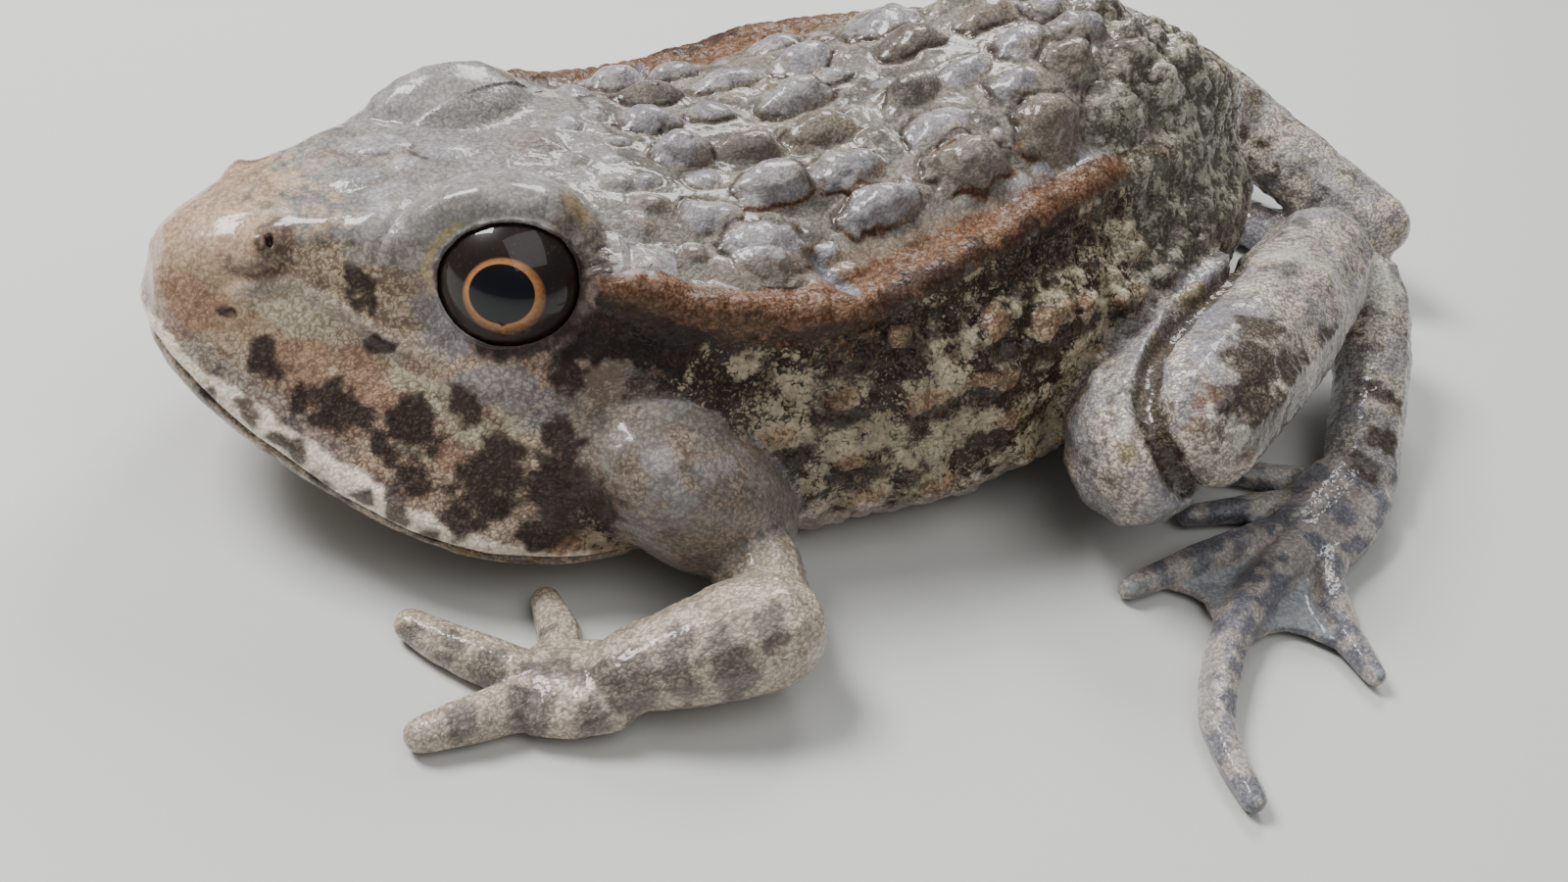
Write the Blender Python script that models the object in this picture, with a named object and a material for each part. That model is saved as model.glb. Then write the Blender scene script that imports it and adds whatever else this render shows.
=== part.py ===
# Gopher frog, adult male, at life size. It rests on its belly with the head lifted,
# the left hind leg folded and the right one drawn up behind the rump.
# Sizes are millimetres in the frog's own frame: the snout tip is at y = 0 and the body
# runs to +Y, the frog's left is +X and the floor is z = 0. The meshes are in metres.

import bisect
import math
import random

import bmesh
import bpy
from mathutils import Matrix, Vector

MM = 0.001
GAP = 0.3
SNOUT_TO_VENT = 85.0
NECK = 28.0

# The trunk swings to the frog's right between these two stations
TURN_START = 18.0
TURN_END = 38.0
TRUNK_TURN = math.radians(10.6)

# Lines of the body, as value by distance from the snout tip
TOP_LINE = {0: 14.6, 1: 16.9, 4: 19.0, 9: 20.7, 17: 22.1, 26: 22.4, 34: 21.7, 40: 21.9,
            46: 23.4, 54: 25.9, 61: 27.2, 68: 26.7, 75: 24.9, 81: 22.3, 84: 19.9, 85: 17.8}
BOTTOM_LINE = {0: 11.6, 1: 9.2, 5: 6.2, 10: 4.0, 15: 2.4, 20: 1.2, 25: 0.3, 29: -0.1, 67: -0.1,
               73: 1.6, 79: 4.6, 83: 8.2, 85: 11.2}
HALF_WIDTH = {0: 0.0, 0.35: 2.5, 1.1: 4.3, 2.3: 6.0, 4: 7.7, 7: 10.4, 10: 12.9, 13: 14.9, 17: 16.5,
              22: 17.3, 27: 17.1, 31: 17.2, 36: 18.2, 42: 19.3, 49: 19.7, 56: 18.6, 64: 16.6,
              72: 13.4, 78: 10.2, 82: 7.4, 84: 4.9, 85: 2.8}
WIDEST_HEIGHT = {0: 13.0, 4: 10.1, 9: 8.0, 13: 6.6, 17: 5.7, 22: 5.2, 27: 5.6, 31: 6.3, 38: 7.4,
                 50: 8.4, 60: 9.4, 70: 10.4, 78: 11.6, 85: 13.6}
# The snout's side edge, which runs on behind the eye as the dorsolateral fold
FOLD_OUT = {0: 0.0, 0.4: 1.6, 4: 3.3, 6: 3.9, 9: 5.0, 14: 6.8, 20: 9.6, 24: 11.3, 28: 12.6, 32: 13.6,
            37: 14.4, 44: 14.3, 53: 12.6, 60: 10.8, 68: 9.0, 75: 7.0, 81: 4.8, 84: 3.0, 85: 1.7}
FOLD_HEIGHT = {0: 14.2, 0.4: 15.6, 4: 17.9, 9: 19.5, 14: 20.6, 20: 20.6, 24: 19.6, 28: 18.2,
               32: 17.4, 37: 17.0, 44: 18.4, 53: 20.2, 60: 20.8, 68: 20.4, 75: 19.0, 81: 17.2,
               85: 15.2}
FOLD_RIDGE = {0: 0.0, 20: 0.1, 26: 0.8, 34: 1.0, 60: 1.0, 70: 0.4, 78: 0.0, 85: 0.0}
# How far the wall under the fold bulges out past a straight line to the widest point
SIDE_BULGE = {0: 0.4, 6: -0.5, 12: -0.7, 20: 0.2, 27: 0.9, 36: 0.7, 46: 1.8, 62: 2.2, 76: 1.4, 85: 0.4}
# Share of the half width that the underside keeps near its lowest level
BELLY_SHARE = {0: 0.55, 10: 0.62, 25: 0.66, 33: 0.76, 60: 0.78, 72: 0.66, 85: 0.55}
MOUTH_LINE = {-2: 13.0, 0: 12.2, 2: 10.7, 5: 8.6, 9: 6.8, 13: 5.4, 17: 4.5, 22: 3.9, 30: 3.5}

# Shares that place a section's middle points between its top, fold, widest point and underside
CROWN_OUT = 0.52
CROWN_DROP = 0.14
BULGE_RISE = 0.4
LOW_SIDE_OUT = 0.955
LOW_SIDE_RISE = 0.46
BELLY_RISE = 0.07
RIDGE_OUT = 0.45
# Points from one of them to the next, down one side
RING_STEPS = (4, 4, 3, 2, 2, 2, 2)
SNOUT_RINGS = (0.35, 1.1, 2.3, 4.0, 6.0, 8.0, 10.0, 12.0)
RING_PITCH = 1.85

# Eyes
EYE_RADIUS = 4.9
EYE_CENTRE = (6.8, 20.0, 18.0)
EYE_AXIS = (0.85, -0.40, 0.34)
EYE_OPENING = (4.55, 3.1)
LID_MOUND = (6.1, 6.9, 6.0)
LID_MOUND_SHIFT = (0.0, -0.6, 0.1)
LID_RIM = 0.5
LID_RIM_LIFT = 0.55
LID_RIM_SPREAD = 0.2

# Ear drum, nostril and the vocal sac behind the corner of the mouth
EAR_CENTRE = (13.3, 24.7, 15.5)
EAR_AXIS = (0.86, 0.02, 0.50)
EAR_RADIUS = 2.2
EAR_DEPTH = 1.2
NOSTRIL = (3.4, 5.9, 17.9)
NOSTRIL_AXIS = (0.62, -0.45, 0.64)
NOSTRIL_MOUND = 1.25
NOSTRIL_HOLE = 0.55
SAC_CENTRE = (16.3, 28.9, 6.9)
SAC_RADII = (5.4, 8.8, 4.8)
SAC_DROOP = math.radians(-38.0)

# Warts of the back stand in rows between the folds, longer along the body than across
WART_ROWS = ((2.4, 5.4, 0.0), (6.2, 6.2, 0.5), (10.0, 7.0, 0.15))
WART_SPAN = (31.0, 76.0)
WART_LENGTH = (1.9, 2.9)
WART_WIDTH = (1.1, 1.6)
WART_HEIGHT = (0.8, 1.25)
WART_STRAY = (0.6, 1.0)
WART_SIDE_STEP = 0.3
RUMP_WARTS_FROM = 66.0
RUMP_WART_SIZE = 0.75
WART_ROUNDNESS = 0.6
WART_SEED = 11
FLANK_WARTS = 26
FLANK_WART_SPAN = (36.0, 70.0)
FLANK_WART_LEVELS = (5.5, 9.5, 13.0, 16.0)
FLANK_WART_RADIUS = (0.9, 1.5)
FLANK_WART_STRETCH = 1.3
FLANK_WART_HEIGHT = 0.5

# Stations of a limb: x, y, z, half width, half height. The arms are the left one's on a
# straight body, swung with the trunk and mirrored for the right.
UPPER_ARM = ((13.0, 30.4, 5.2, 3.2, 3.2), (18.4, 30.9, 4.5, 3.0, 3.0),
             (22.6, 30.8, 4.1, 2.9, 2.9), (26.2, 29.6, 4.0, 2.5, 2.5))
FOREARM = ((26.6, 32.2, 4.3, 3.3, 3.3), (26.6, 29.0, 4.5, 3.8, 3.7), (26.7, 25.4, 4.0, 3.3, 3.1),
           (26.4, 22.6, 3.2, 2.7, 2.3), (25.9, 20.4, 2.4, 2.4, 1.7))
PALM = ((26.8, 23.2, 2.6, 2.5, 2.0), (25.6, 20.0, 1.6, 3.3, 1.6), (24.4, 17.4, 1.3, 3.2, 1.2))
FINGERS = (
    ((24.2, 22.0, 1.5, 1.2), (22.3, 24.8, 1.2, 1.05), (21.4, 27.2, 1.0, 0.85)),
    ((24.6, 19.6, 1.5, 1.3), (20.8, 20.5, 1.3, 1.15), (17.4, 20.5, 1.1, 0.95)),
    ((24.6, 18.6, 1.5, 1.4), (21.2, 14.9, 1.3, 1.2), (17.9, 12.0, 1.1, 1.0)),
    ((25.8, 18.0, 1.5, 1.4), (26.4, 14.2, 1.3, 1.2), (26.9, 10.5, 1.1, 1.05)),
)

# The left leg's stations are given where they lie
LEFT_THIGH = ((2.0, 76.5, 9.8, 6.0, 6.0), (9.6, 70.4, 9.0, 6.4, 6.6),
              (16.6, 63.4, 9.2, 5.8, 6.2), (22.6, 57.2, 10.2, 4.6, 4.8))
LEFT_SHANK = ((22.4, 59.4, 11.4, 4.5, 4.5), (17.4, 66.8, 12.0, 5.2, 5.2), (11.0, 75.6, 11.6, 5.3, 5.2),
              (4.0, 84.6, 10.8, 4.6, 4.4), (-1.6, 91.2, 10.2, 4.2, 4.0))
LEFT_TARSUS = ((-1.0, 92.2, 8.8, 3.2, 3.4), (3.6, 92.4, 7.8, 3.3, 3.3), (8.6, 90.2, 5.6, 3.0, 2.9),
               (13.6, 86.8, 4.0, 2.9, 2.6), (19.6, 82.4, 2.6, 3.0, 2.0))
LEFT_SOLE = ((17.4, 84.2, 2.6, 3.0, 2.1), (20.6, 79.4, 2.0, 3.7, 1.7), (22.8, 75.4, 1.5, 3.4, 1.3))
LEFT_TOES = (
    ((18.4, 82.6, 1.6, 1.3), (15.6, 78.0, 1.3, 1.1), (14.0, 73.6, 1.1, 0.9)),
    ((19.4, 81.2, 1.6, 1.3), (18.4, 75.0, 1.3, 1.15), (18.0, 68.0, 1.1, 0.9)),
    ((20.6, 79.4, 1.6, 1.4), (21.6, 71.6, 1.3, 1.25), (22.8, 65.2, 1.2, 1.1), (24.0, 59.6, 1.0, 0.9)),
    ((21.0, 79.4, 1.7, 1.6), (23.6, 73.6, 1.5, 1.5), (29.0, 65.6, 1.4, 1.35), (35.8, 59.8, 1.2, 1.15),
     (42.6, 58.6, 1.0, 0.95)),
    ((20.8, 80.6, 1.7, 1.4), (25.6, 75.8, 1.4, 1.3), (30.4, 73.8, 1.2, 1.15), (35.2, 73.6, 1.0, 0.9)),
)
WEB_REACH = (0.60, 0.58, 0.52, 0.50)
WEB_ROOT = 0.04
WEB_NOTCH = 0.28
WEB_THICKNESS = 0.8
WEB_HEIGHT = 0.9
WEB_CROWN = 0.25
DIGIT_WAIST = 0.72
DIGIT_WAIST_SIZE = 0.82
END_CAP_ANGLES = (0.45, 0.95)
MERGE_REACH = (0.01, 0.003, 0.001, 0.0001)

# The right leg is given in the straight body's frame and swings with the trunk
RIGHT_THIGH = ((-3.0, 77.0, 11.0, 6.0, 6.0), (-11.0, 81.0, 10.2, 6.2, 5.6),
               (-20.0, 85.6, 9.6, 5.6, 5.0), (-29.6, 90.2, 9.0, 4.4, 4.2))
RIGHT_SHANK = ((-28.6, 91.4, 9.2, 4.2, 4.0), (-20.0, 93.6, 9.8, 4.5, 4.4),
               (-10.0, 96.6, 9.6, 4.2, 4.1), (-1.0, 99.6, 8.4, 3.5, 3.3), (8.6, 103.4, 6.2, 2.8, 2.7))
RIGHT_TARSUS = ((9.2, 102.8, 3.4, 2.5, 2.4), (2.6, 99.8, 2.6, 2.5, 2.2),
                (-3.4, 97.2, 2.3, 2.5, 2.0), (-11.5, 94.2, 2.1, 2.8, 1.8))
RIGHT_FOOT_JOINT = (-9.0, 95.2)
RIGHT_FOOT_HEADING = math.radians(-15.0)

SKIN_COLOURS = {
    "back": (0.30, 0.29, 0.26),
    "throat": (0.62, 0.60, 0.60),
    "limb": (0.42, 0.38, 0.32),
    "foot": (0.45, 0.42, 0.42),
    "eye": (0.03, 0.03, 0.04),
    "drum": (0.16, 0.10, 0.07),
}
SKIN_OF_PART = {"head": "back", "torso": "back", "lower": "throat", "vocal": "throat", "eye": "eye",
                "ear": "drum", "hand": "foot", "foot": "foot"}


def clear_scene():
    for item in list(bpy.data.objects):
        bpy.data.objects.remove(item, do_unlink=True)


def make_collection(name):
    collection = bpy.data.collections.new(name)
    bpy.context.scene.collection.children.link(collection)
    return collection


def line_at(table, place):
    # Monotone cubic through the table's points, so that no line overshoots its stations
    stations = sorted(table)
    place = min(max(place, stations[0]), stations[-1])
    k = min(max(bisect.bisect_right(stations, place) - 1, 0), len(stations) - 2)

    def slope(i):
        if i < 0 or i > len(stations) - 2:
            return None
        return (table[stations[i + 1]] - table[stations[i]]) / (stations[i + 1] - stations[i])

    def tangent(i):
        before = slope(i - 1)
        after = slope(i)
        if before is None:
            return after
        if after is None:
            return before
        if before * after <= 0:
            return 0.0
        return 2 * before * after / (before + after)

    span = stations[k + 1] - stations[k]
    u = (place - stations[k]) / span
    start = table[stations[k]]
    end = table[stations[k + 1]]
    return ((2 * u ** 3 - 3 * u ** 2 + 1) * start + (u ** 3 - 2 * u ** 2 + u) * span * tangent(k)
            + (3 * u ** 2 - 2 * u ** 3) * end + (u ** 3 - u ** 2) * span * tangent(k + 1))


def catmull(points, k, u, closed=False):
    count = len(points)
    if closed:
        p0, p1, p2, p3 = (points[(k + i) % count] for i in (-1, 0, 1, 2))
    else:
        p0, p1, p2, p3 = (points[min(max(k + i, 0), count - 1)] for i in (-1, 0, 1, 2))
    return [0.5 * (2 * b + (c - a) * u + (2 * a - 5 * b + 4 * c - d) * u * u
                   + (3 * b - a - 3 * c + d) * u ** 3) for a, b, c, d in zip(p0, p1, p2, p3)]


def turned(x, y, z):
    # The straight body's point after the trunk has swung round the neck
    radius = (TURN_END - TURN_START) / TRUNK_TURN
    angle = TRUNK_TURN * min(max((y - TURN_START) / (TURN_END - TURN_START), 0.0), 1.0)
    past = max(y - TURN_END, 0.0)
    before = min(y, TURN_START)
    centre_x = -radius * (1 - math.cos(angle)) - past * math.sin(angle)
    centre_y = before + radius * math.sin(angle) + past * math.cos(angle)
    return Vector((centre_x + x * math.cos(angle), centre_y + x * math.sin(angle), z))


def mirrored(stations):
    # Across the upright plane that holds the middle line of the back at the neck
    angle = TRUNK_TURN * (NECK - TURN_START) / (TURN_END - TURN_START)
    middle = turned(0.0, NECK, 0.0)
    across = Vector((math.cos(angle), math.sin(angle), 0.0))
    flipped = []
    for station in stations:
        spot = Vector(station[:3])
        spot -= 2 * (spot - middle).dot(across) * across
        flipped.append(tuple(spot) + tuple(station[3:]))
    return tuple(flipped)


def swung(stations):
    return tuple(tuple(turned(*s[:3])) + tuple(s[3:]) for s in stations)


def body_section(y):
    # Half of the closed outline at one station, from the middle of the back to the belly's
    top = line_at(TOP_LINE, y)
    bottom = line_at(BOTTOM_LINE, y)
    half = line_at(HALF_WIDTH, y)
    widest = line_at(WIDEST_HEIGHT, y)
    fold_out = line_at(FOLD_OUT, y)
    fold_up = line_at(FOLD_HEIGHT, y)
    bulge = line_at(SIDE_BULGE, y)
    share = line_at(BELLY_SHARE, y)
    side = ((fold_out + half) / 2 + bulge, (fold_up + widest) / 2 + BULGE_RISE * bulge)
    low = widest - bottom
    return [(0.0, top), (CROWN_OUT * fold_out, top - CROWN_DROP * (top - fold_up)),
            (fold_out, fold_up), side, (half, widest),
            (LOW_SIDE_OUT * half, bottom + LOW_SIDE_RISE * low),
            (share * half, bottom + BELLY_RISE * low), (0.0, bottom)]


def body_ring(y):
    half = body_section(y)
    outline = half + [(-x, z) for x, z in reversed(half[1:-1])]
    steps = RING_STEPS + tuple(reversed(RING_STEPS))
    ridge = line_at(FOLD_RIDGE, y)
    ring = []
    for k, count in enumerate(steps):
        for i in range(count):
            x, z = catmull(outline, k, i / count, closed=True)
            if i == 0 and k in (2, len(outline) - 2):
                x += math.copysign(RIDGE_OUT * ridge, x)
                z += ridge
            ring.append((x, y, max(z, 0.0)))
    return ring


def body_stations(start, end):
    if start < SNOUT_RINGS[-1]:
        stations = list(SNOUT_RINGS)
        start = SNOUT_RINGS[-1]
    else:
        stations = [start]
    count = max(round((end - start) / RING_PITCH), 1)
    return stations + [start + (end - start) * (i + 1) / count for i in range(count)]


def make_warts():
    # Centre x, y and the half length, half width and height of each wart of the back
    draw = random.Random(WART_SEED)
    warts = []
    for out, pitch, phase in WART_ROWS:
        for side in (-1, 1):
            y = WART_SPAN[0] + (phase + WART_SIDE_STEP * (side > 0)) * pitch
            while y < WART_SPAN[1]:
                edge = line_at(FOLD_OUT, y) / line_at(FOLD_OUT, TURN_END)
                size = draw.uniform(0.8, 1.0) * (1.0 if y < RUMP_WARTS_FROM else RUMP_WART_SIZE)
                stray_x = draw.uniform(-WART_STRAY[0], WART_STRAY[0])
                stray_y = draw.uniform(-WART_STRAY[1], WART_STRAY[1])
                warts.append((side * (out + stray_x) * edge, y + stray_y,
                              size * draw.uniform(*WART_LENGTH), size * draw.uniform(*WART_WIDTH),
                              size * draw.uniform(*WART_HEIGHT)))
                y += pitch * draw.uniform(0.85, 1.15)
    return warts


def make_flank_warts():
    draw = random.Random(WART_SEED + 1)
    warts = []
    for side in (-1, 1):
        for i in range(FLANK_WARTS):
            start, end = FLANK_WART_SPAN
            y = start + (end - start) * (i + draw.uniform(0.1, 0.9)) / FLANK_WARTS
            z = draw.choice(FLANK_WART_LEVELS) + draw.uniform(-0.8, 0.8)
            warts.append((side, y, z, draw.uniform(*FLANK_WART_RADIUS)))
    return warts


def wart_lift(x, y, z, warts, flank_warts):
    lift = 0.0
    edge = line_at(FOLD_OUT, y)
    if abs(x) < edge + 0.5 and z > line_at(FOLD_HEIGHT, y) - 1.0:
        for cx, cy, length, width, height in warts:
            r2 = ((y - cy) / length) ** 2 + ((x - cx) / width) ** 2
            if r2 < 1:
                lift = max(lift, height * (1 - r2) ** WART_ROUNDNESS)
    else:
        for side, cy, cz, radius in flank_warts:
            r2 = ((y - cy) / (FLANK_WART_STRETCH * radius)) ** 2 + ((z - cz) / radius) ** 2
            if side * x > 0 and r2 < 1:
                lift = max(lift, FLANK_WART_HEIGHT * (1 - r2) ** WART_ROUNDNESS)
    return lift


def mesh_from_rings(rings, first_pole=None, last_pole=None):
    # Skins a row of rings with triangles and closes each end with a fan
    mesh = bmesh.new()
    rows = [[mesh.verts.new(Vector(p) * MM) for p in ring] for ring in rings]
    for a, b in zip(rows, rows[1:]):
        count = len(a)
        for i in range(count):
            j = (i + 1) % count
            mesh.faces.new((a[i], a[j], b[j]))
            mesh.faces.new((a[i], b[j], b[i]))
    for row, pole, first in ((rows[0], first_pole, True), (rows[-1], last_pole, False)):
        centre = pole or sum((Vector(v.co) for v in row), Vector()) / len(row) / MM
        tip = mesh.verts.new(Vector(centre) * MM)
        for i in range(len(row)):
            j = (i + 1) % len(row)
            mesh.faces.new((row[j], row[i], tip) if first else (row[i], row[j], tip))
    bmesh.ops.recalc_face_normals(mesh, faces=mesh.faces)
    return mesh


def object_from(mesh, name, collection):
    data = bpy.data.meshes.new(name)
    mesh.to_mesh(data)
    mesh.free()
    item = bpy.data.objects.new(name, data)
    collection.objects.link(item)
    return item


def make_body_length(name, start, end, collection):
    # One length of the head and trunk between two stations, with its warts and its turn
    warts = make_warts()
    flank_warts = make_flank_warts()
    rings = [body_ring(y) for y in body_stations(start, end)]
    first_pole = (0.0, 0.0, 0.5 * (TOP_LINE[0] + BOTTOM_LINE[0])) if start < 1 else None
    last_pole = None
    if end > SNOUT_TO_VENT - 1:
        last_pole = (0.0, SNOUT_TO_VENT + 0.4, rings[-1][0][2] - 1.5)
    mesh = mesh_from_rings(rings, first_pole, last_pole)
    mesh.normal_update()
    lifts = []
    for vertex in mesh.verts:
        x, y, z = vertex.co / MM
        on_cut = abs(y - start) < 0.01 or abs(y - end) < 0.01
        flat = abs(vertex.normal.y) > 0.8
        lifts.append(0.0 if on_cut and flat else wart_lift(x, y, z, warts, flank_warts))
    normals = [Vector((v.normal.x, 0.0, v.normal.z)).normalized() for v in mesh.verts]
    for vertex, lift, normal in zip(mesh.verts, lifts, normals):
        x, y, z = vertex.co / MM + normal * lift
        vertex.co = turned(x, y, z) * MM
    return object_from(mesh, name, collection)


def limb_rings(stations, pitch, sides):
    # Oval rings along a smooth path through the stations, rounded off at both ends
    dense = []
    spans = len(stations) - 1
    for k in range(spans):
        for i in range(16):
            dense.append(catmull(stations, k, i / 16))
    dense.append(list(stations[-1]))
    reach = [0.0]
    for a, b in zip(dense, dense[1:]):
        reach.append(reach[-1] + math.dist(a[:3], b[:3]))
    length = reach[-1]

    def at(distance):
        distance = min(max(distance, 0.0), length)
        k = min(max(bisect.bisect_right(reach, distance) - 1, 0), len(dense) - 2)
        u = (distance - reach[k]) / (reach[k + 1] - reach[k])
        return [a + (b - a) * u for a, b in zip(dense[k], dense[k + 1])]

    first = min(dense[0][3:])
    last = min(dense[-1][3:])
    places = [(first * (1 - math.cos(a)), math.sin(a)) for a in END_CAP_ANGLES]
    count = max(round((length - first - last) / pitch), 1)
    places += [(first + (length - first - last) * i / count, 1.0) for i in range(count + 1)]
    places += [(length - last * (1 - math.cos(a)), math.sin(a)) for a in END_CAP_ANGLES[::-1]]
    rings = []
    for distance, scale in places:
        x, y, z, wide, high = at(distance)
        along = Vector(at(distance + 0.3)[:3]) - Vector(at(distance - 0.3)[:3])
        across = along.cross(Vector((0, 0, 1))).normalized()
        up = across.cross(along).normalized()
        ring = []
        for i in range(sides):
            angle = 2 * math.pi * i / sides
            ring.append(Vector((x, y, z)) + across * (wide * scale * math.cos(angle))
                        + up * (high * scale * math.sin(angle)))
        rings.append(ring)
    return rings, at(0.0)[:3], at(length)[:3]


def make_limb(name, stations, collection, pitch=3.0, sides=11):
    rings, start, end = limb_rings(stations, pitch, sides)
    return object_from(mesh_from_rings(rings, start, end), name, collection)


def digit_stations(points):
    # A digit's points give x, y, z and radius: the tip swells a little past its last joint
    stations = [(x, y, z, radius, radius) for x, y, z, radius in points]
    x, y, z, radius = points[-1]
    px, py, pz, _ = points[-2]
    near = DIGIT_WAIST
    waist = DIGIT_WAIST_SIZE * radius
    stations.insert(-1, (px + (x - px) * near, py + (y - py) * near, pz + (z - pz) * near, waist, waist))
    return stations


def make_ellipsoid(name, centre, radii, collection, segments=16, rings=10, droop=0.0):
    mesh = bmesh.new()
    bmesh.ops.create_uvsphere(mesh, u_segments=segments, v_segments=rings, radius=1.0)
    tilt = Matrix.Rotation(droop, 4, "X")
    place = Matrix.Translation(Vector(centre) * MM) @ tilt @ Matrix.Diagonal(Vector(radii) * MM).to_4x4()
    bmesh.ops.transform(mesh, matrix=place, verts=mesh.verts)
    bmesh.ops.triangulate(mesh, faces=mesh.faces)
    return object_from(mesh, name, collection)


def axis_frame(centre, axis):
    # A frame whose +Z is the axis and whose +X stays level
    forward = Vector(axis).normalized()
    level = Vector((0, 0, 1)).cross(forward).normalized()
    up = forward.cross(level)
    rotation = Matrix((level, up, forward)).transposed().to_4x4()
    return Matrix.Translation(Vector(centre) * MM) @ rotation


def make_tube(name, centre, axis, radii, start, end, collection, sides=18):
    # An oval plug along an axis, from start to end ahead of the centre
    mesh = bmesh.new()
    bmesh.ops.create_cone(mesh, cap_ends=True, segments=sides, radius1=1.0, radius2=1.0, depth=1.0)
    size = Matrix.Diagonal(Vector((radii[0], radii[1], end - start)) * MM).to_4x4()
    lift = Matrix.Translation(Vector((0, 0, (start + end) / 2)) * MM)
    bmesh.ops.transform(mesh, matrix=axis_frame(centre, axis) @ lift @ size, verts=mesh.verts)
    bmesh.ops.triangulate(mesh, faces=mesh.faces)
    return object_from(mesh, name, collection)


def make_lid_rim(name, centre, axis, collection, sides=16):
    # The thickened edge of both lids, a ring that lies on the ball round the opening
    frame = axis_frame((0, 0, 0), axis)
    rings = []
    ball = EYE_RADIUS + LID_RIM_LIFT
    for i in range(sides):
        angle = 2 * math.pi * i / sides
        a = (EYE_OPENING[0] + LID_RIM_SPREAD) * math.cos(angle)
        b = (EYE_OPENING[1] + LID_RIM_SPREAD) * math.sin(angle)
        middle = Vector((a, b, math.sqrt(ball ** 2 - a * a - b * b)))
        out = middle.normalized()
        across = Vector((-math.sin(angle), math.cos(angle), 0)).cross(out).normalized()
        ring = []
        for k in range(4):
            turn = 2 * math.pi * k / 4
            spot = middle + (out * math.cos(turn) + across * math.sin(turn)) * LID_RIM
            ring.append(Vector(centre) + frame.to_3x3() @ spot)
        rings.append(ring)
    mesh = bmesh.new()
    rows = [[mesh.verts.new(p * MM) for p in ring] for ring in rings]
    for k, row in enumerate(rows):
        ahead = rows[(k + 1) % sides]
        for i in range(4):
            j = (i + 1) % 4
            mesh.faces.new((row[i], row[j], ahead[j]))
            mesh.faces.new((row[i], ahead[j], ahead[i]))
    bmesh.ops.recalc_face_normals(mesh, faces=mesh.faces)
    return object_from(mesh, name, collection)


def make_mouth_wedge(name, upper, collection):
    # Everything above or below the line of the mouth, less half the gap
    shift = -GAP / 2 if upper else GAP / 2
    reach = 40.0
    stations = sorted(MOUTH_LINE)
    line = [(y, line_at(MOUTH_LINE, y) + shift) for y in stations]
    line.insert(0, (-reach, line[0][1]))
    line.append((NECK + reach, line[-1][1]))
    far = reach if upper else -reach
    outline = line + [(line[-1][0], far), (line[0][0], far)]
    mesh = bmesh.new()
    sides = [[mesh.verts.new(Vector((x, y, z)) * MM) for y, z in outline] for x in (-reach, reach)]
    mesh.faces.new(sides[0])
    mesh.faces.new(list(reversed(sides[1])))
    for i in range(len(outline)):
        j = (i + 1) % len(outline)
        mesh.faces.new((sides[0][i], sides[1][i], sides[1][j], sides[0][j]))
    bmesh.ops.recalc_face_normals(mesh, faces=mesh.faces)
    bmesh.ops.triangulate(mesh, faces=mesh.faces)
    return object_from(mesh, name, collection)


def make_floor_block(name, collection):
    mesh = bmesh.new()
    bmesh.ops.create_cube(mesh, size=1.0)
    size = Vector((2 * SNOUT_TO_VENT, 2 * SNOUT_TO_VENT, 20.0)) * MM
    middle = Vector((0.0, SNOUT_TO_VENT / 2, -10.0)) * MM
    place = Matrix.Translation(middle) @ Matrix.Diagonal(size).to_4x4()
    bmesh.ops.transform(mesh, matrix=place, verts=mesh.verts)
    bmesh.ops.triangulate(mesh, faces=mesh.faces)
    return object_from(mesh, name, collection)


def cleaned(data):
    # Merges what a cut leaves almost on one spot, as widely as keeps the surface closed
    for reach in MERGE_REACH:
        mesh = bmesh.new()
        mesh.from_mesh(data)
        bmesh.ops.remove_doubles(mesh, verts=mesh.verts, dist=reach * MM)
        bmesh.ops.dissolve_degenerate(mesh, edges=mesh.edges, dist=reach * MM)
        bmesh.ops.triangulate(mesh, faces=mesh.faces)
        if all(len(edge.link_faces) == 2 for edge in mesh.edges):
            return mesh
        if reach != MERGE_REACH[-1]:
            mesh.free()
    return mesh


def keep_largest_body(item):
    # A union or cut may leave a scrap or a sealed hollow: only the outer surface stays
    mesh = cleaned(item.data)
    unseen = set(mesh.faces)
    shells = []
    while unseen:
        front = [unseen.pop()]
        shell = list(front)
        while front:
            face = front.pop()
            for edge in face.edges:
                for near in edge.link_faces:
                    if near in unseen:
                        unseen.remove(near)
                        front.append(near)
                        shell.append(near)
        shells.append(shell)
    if len(shells) > 1:
        def span(shell):
            points = [v.co for f in shell for v in f.verts]
            return sum(max(p[i] for p in points) - min(p[i] for p in points) for i in range(3))
        shells.sort(key=span, reverse=True)
        scraps = [face for shell in shells[1:] for face in shell]
        bmesh.ops.delete(mesh, geom=scraps, context="FACES")
    mesh.to_mesh(item.data)
    mesh.free()


def combine(item, tools, operation):
    # One Boolean of the item with a collection of closed meshes, applied; the tools go
    holder = bpy.data.collections.new("operand")
    bpy.context.scene.collection.children.link(holder)
    for tool in tools:
        holder.objects.link(tool)
    modifier = item.modifiers.new("join", "BOOLEAN")
    modifier.operation = operation
    modifier.solver = "EXACT"
    modifier.operand_type = "COLLECTION"
    modifier.collection = holder
    graph = bpy.context.evaluated_depsgraph_get()
    graph.update()
    result = bpy.data.meshes.new_from_object(item.evaluated_get(graph))
    item.modifiers.clear()
    item.data = result
    for tool in tools:
        bpy.data.objects.remove(tool, do_unlink=True)
    bpy.data.collections.remove(holder)
    keep_largest_body(item)


def grown_copy(item, collection, gap=GAP):
    # The same body a gap larger all round, as a cutter for what touches it
    copy = item.copy()
    copy.data = item.data.copy()
    collection.objects.link(copy)
    mesh = bmesh.new()
    mesh.from_mesh(copy.data)
    mesh.normal_update()
    shifts = [vertex.normal * gap * MM for vertex in mesh.verts]
    for vertex, shift in zip(mesh.verts, shifts):
        vertex.co += shift
    mesh.to_mesh(copy.data)
    mesh.free()
    return copy


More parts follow.
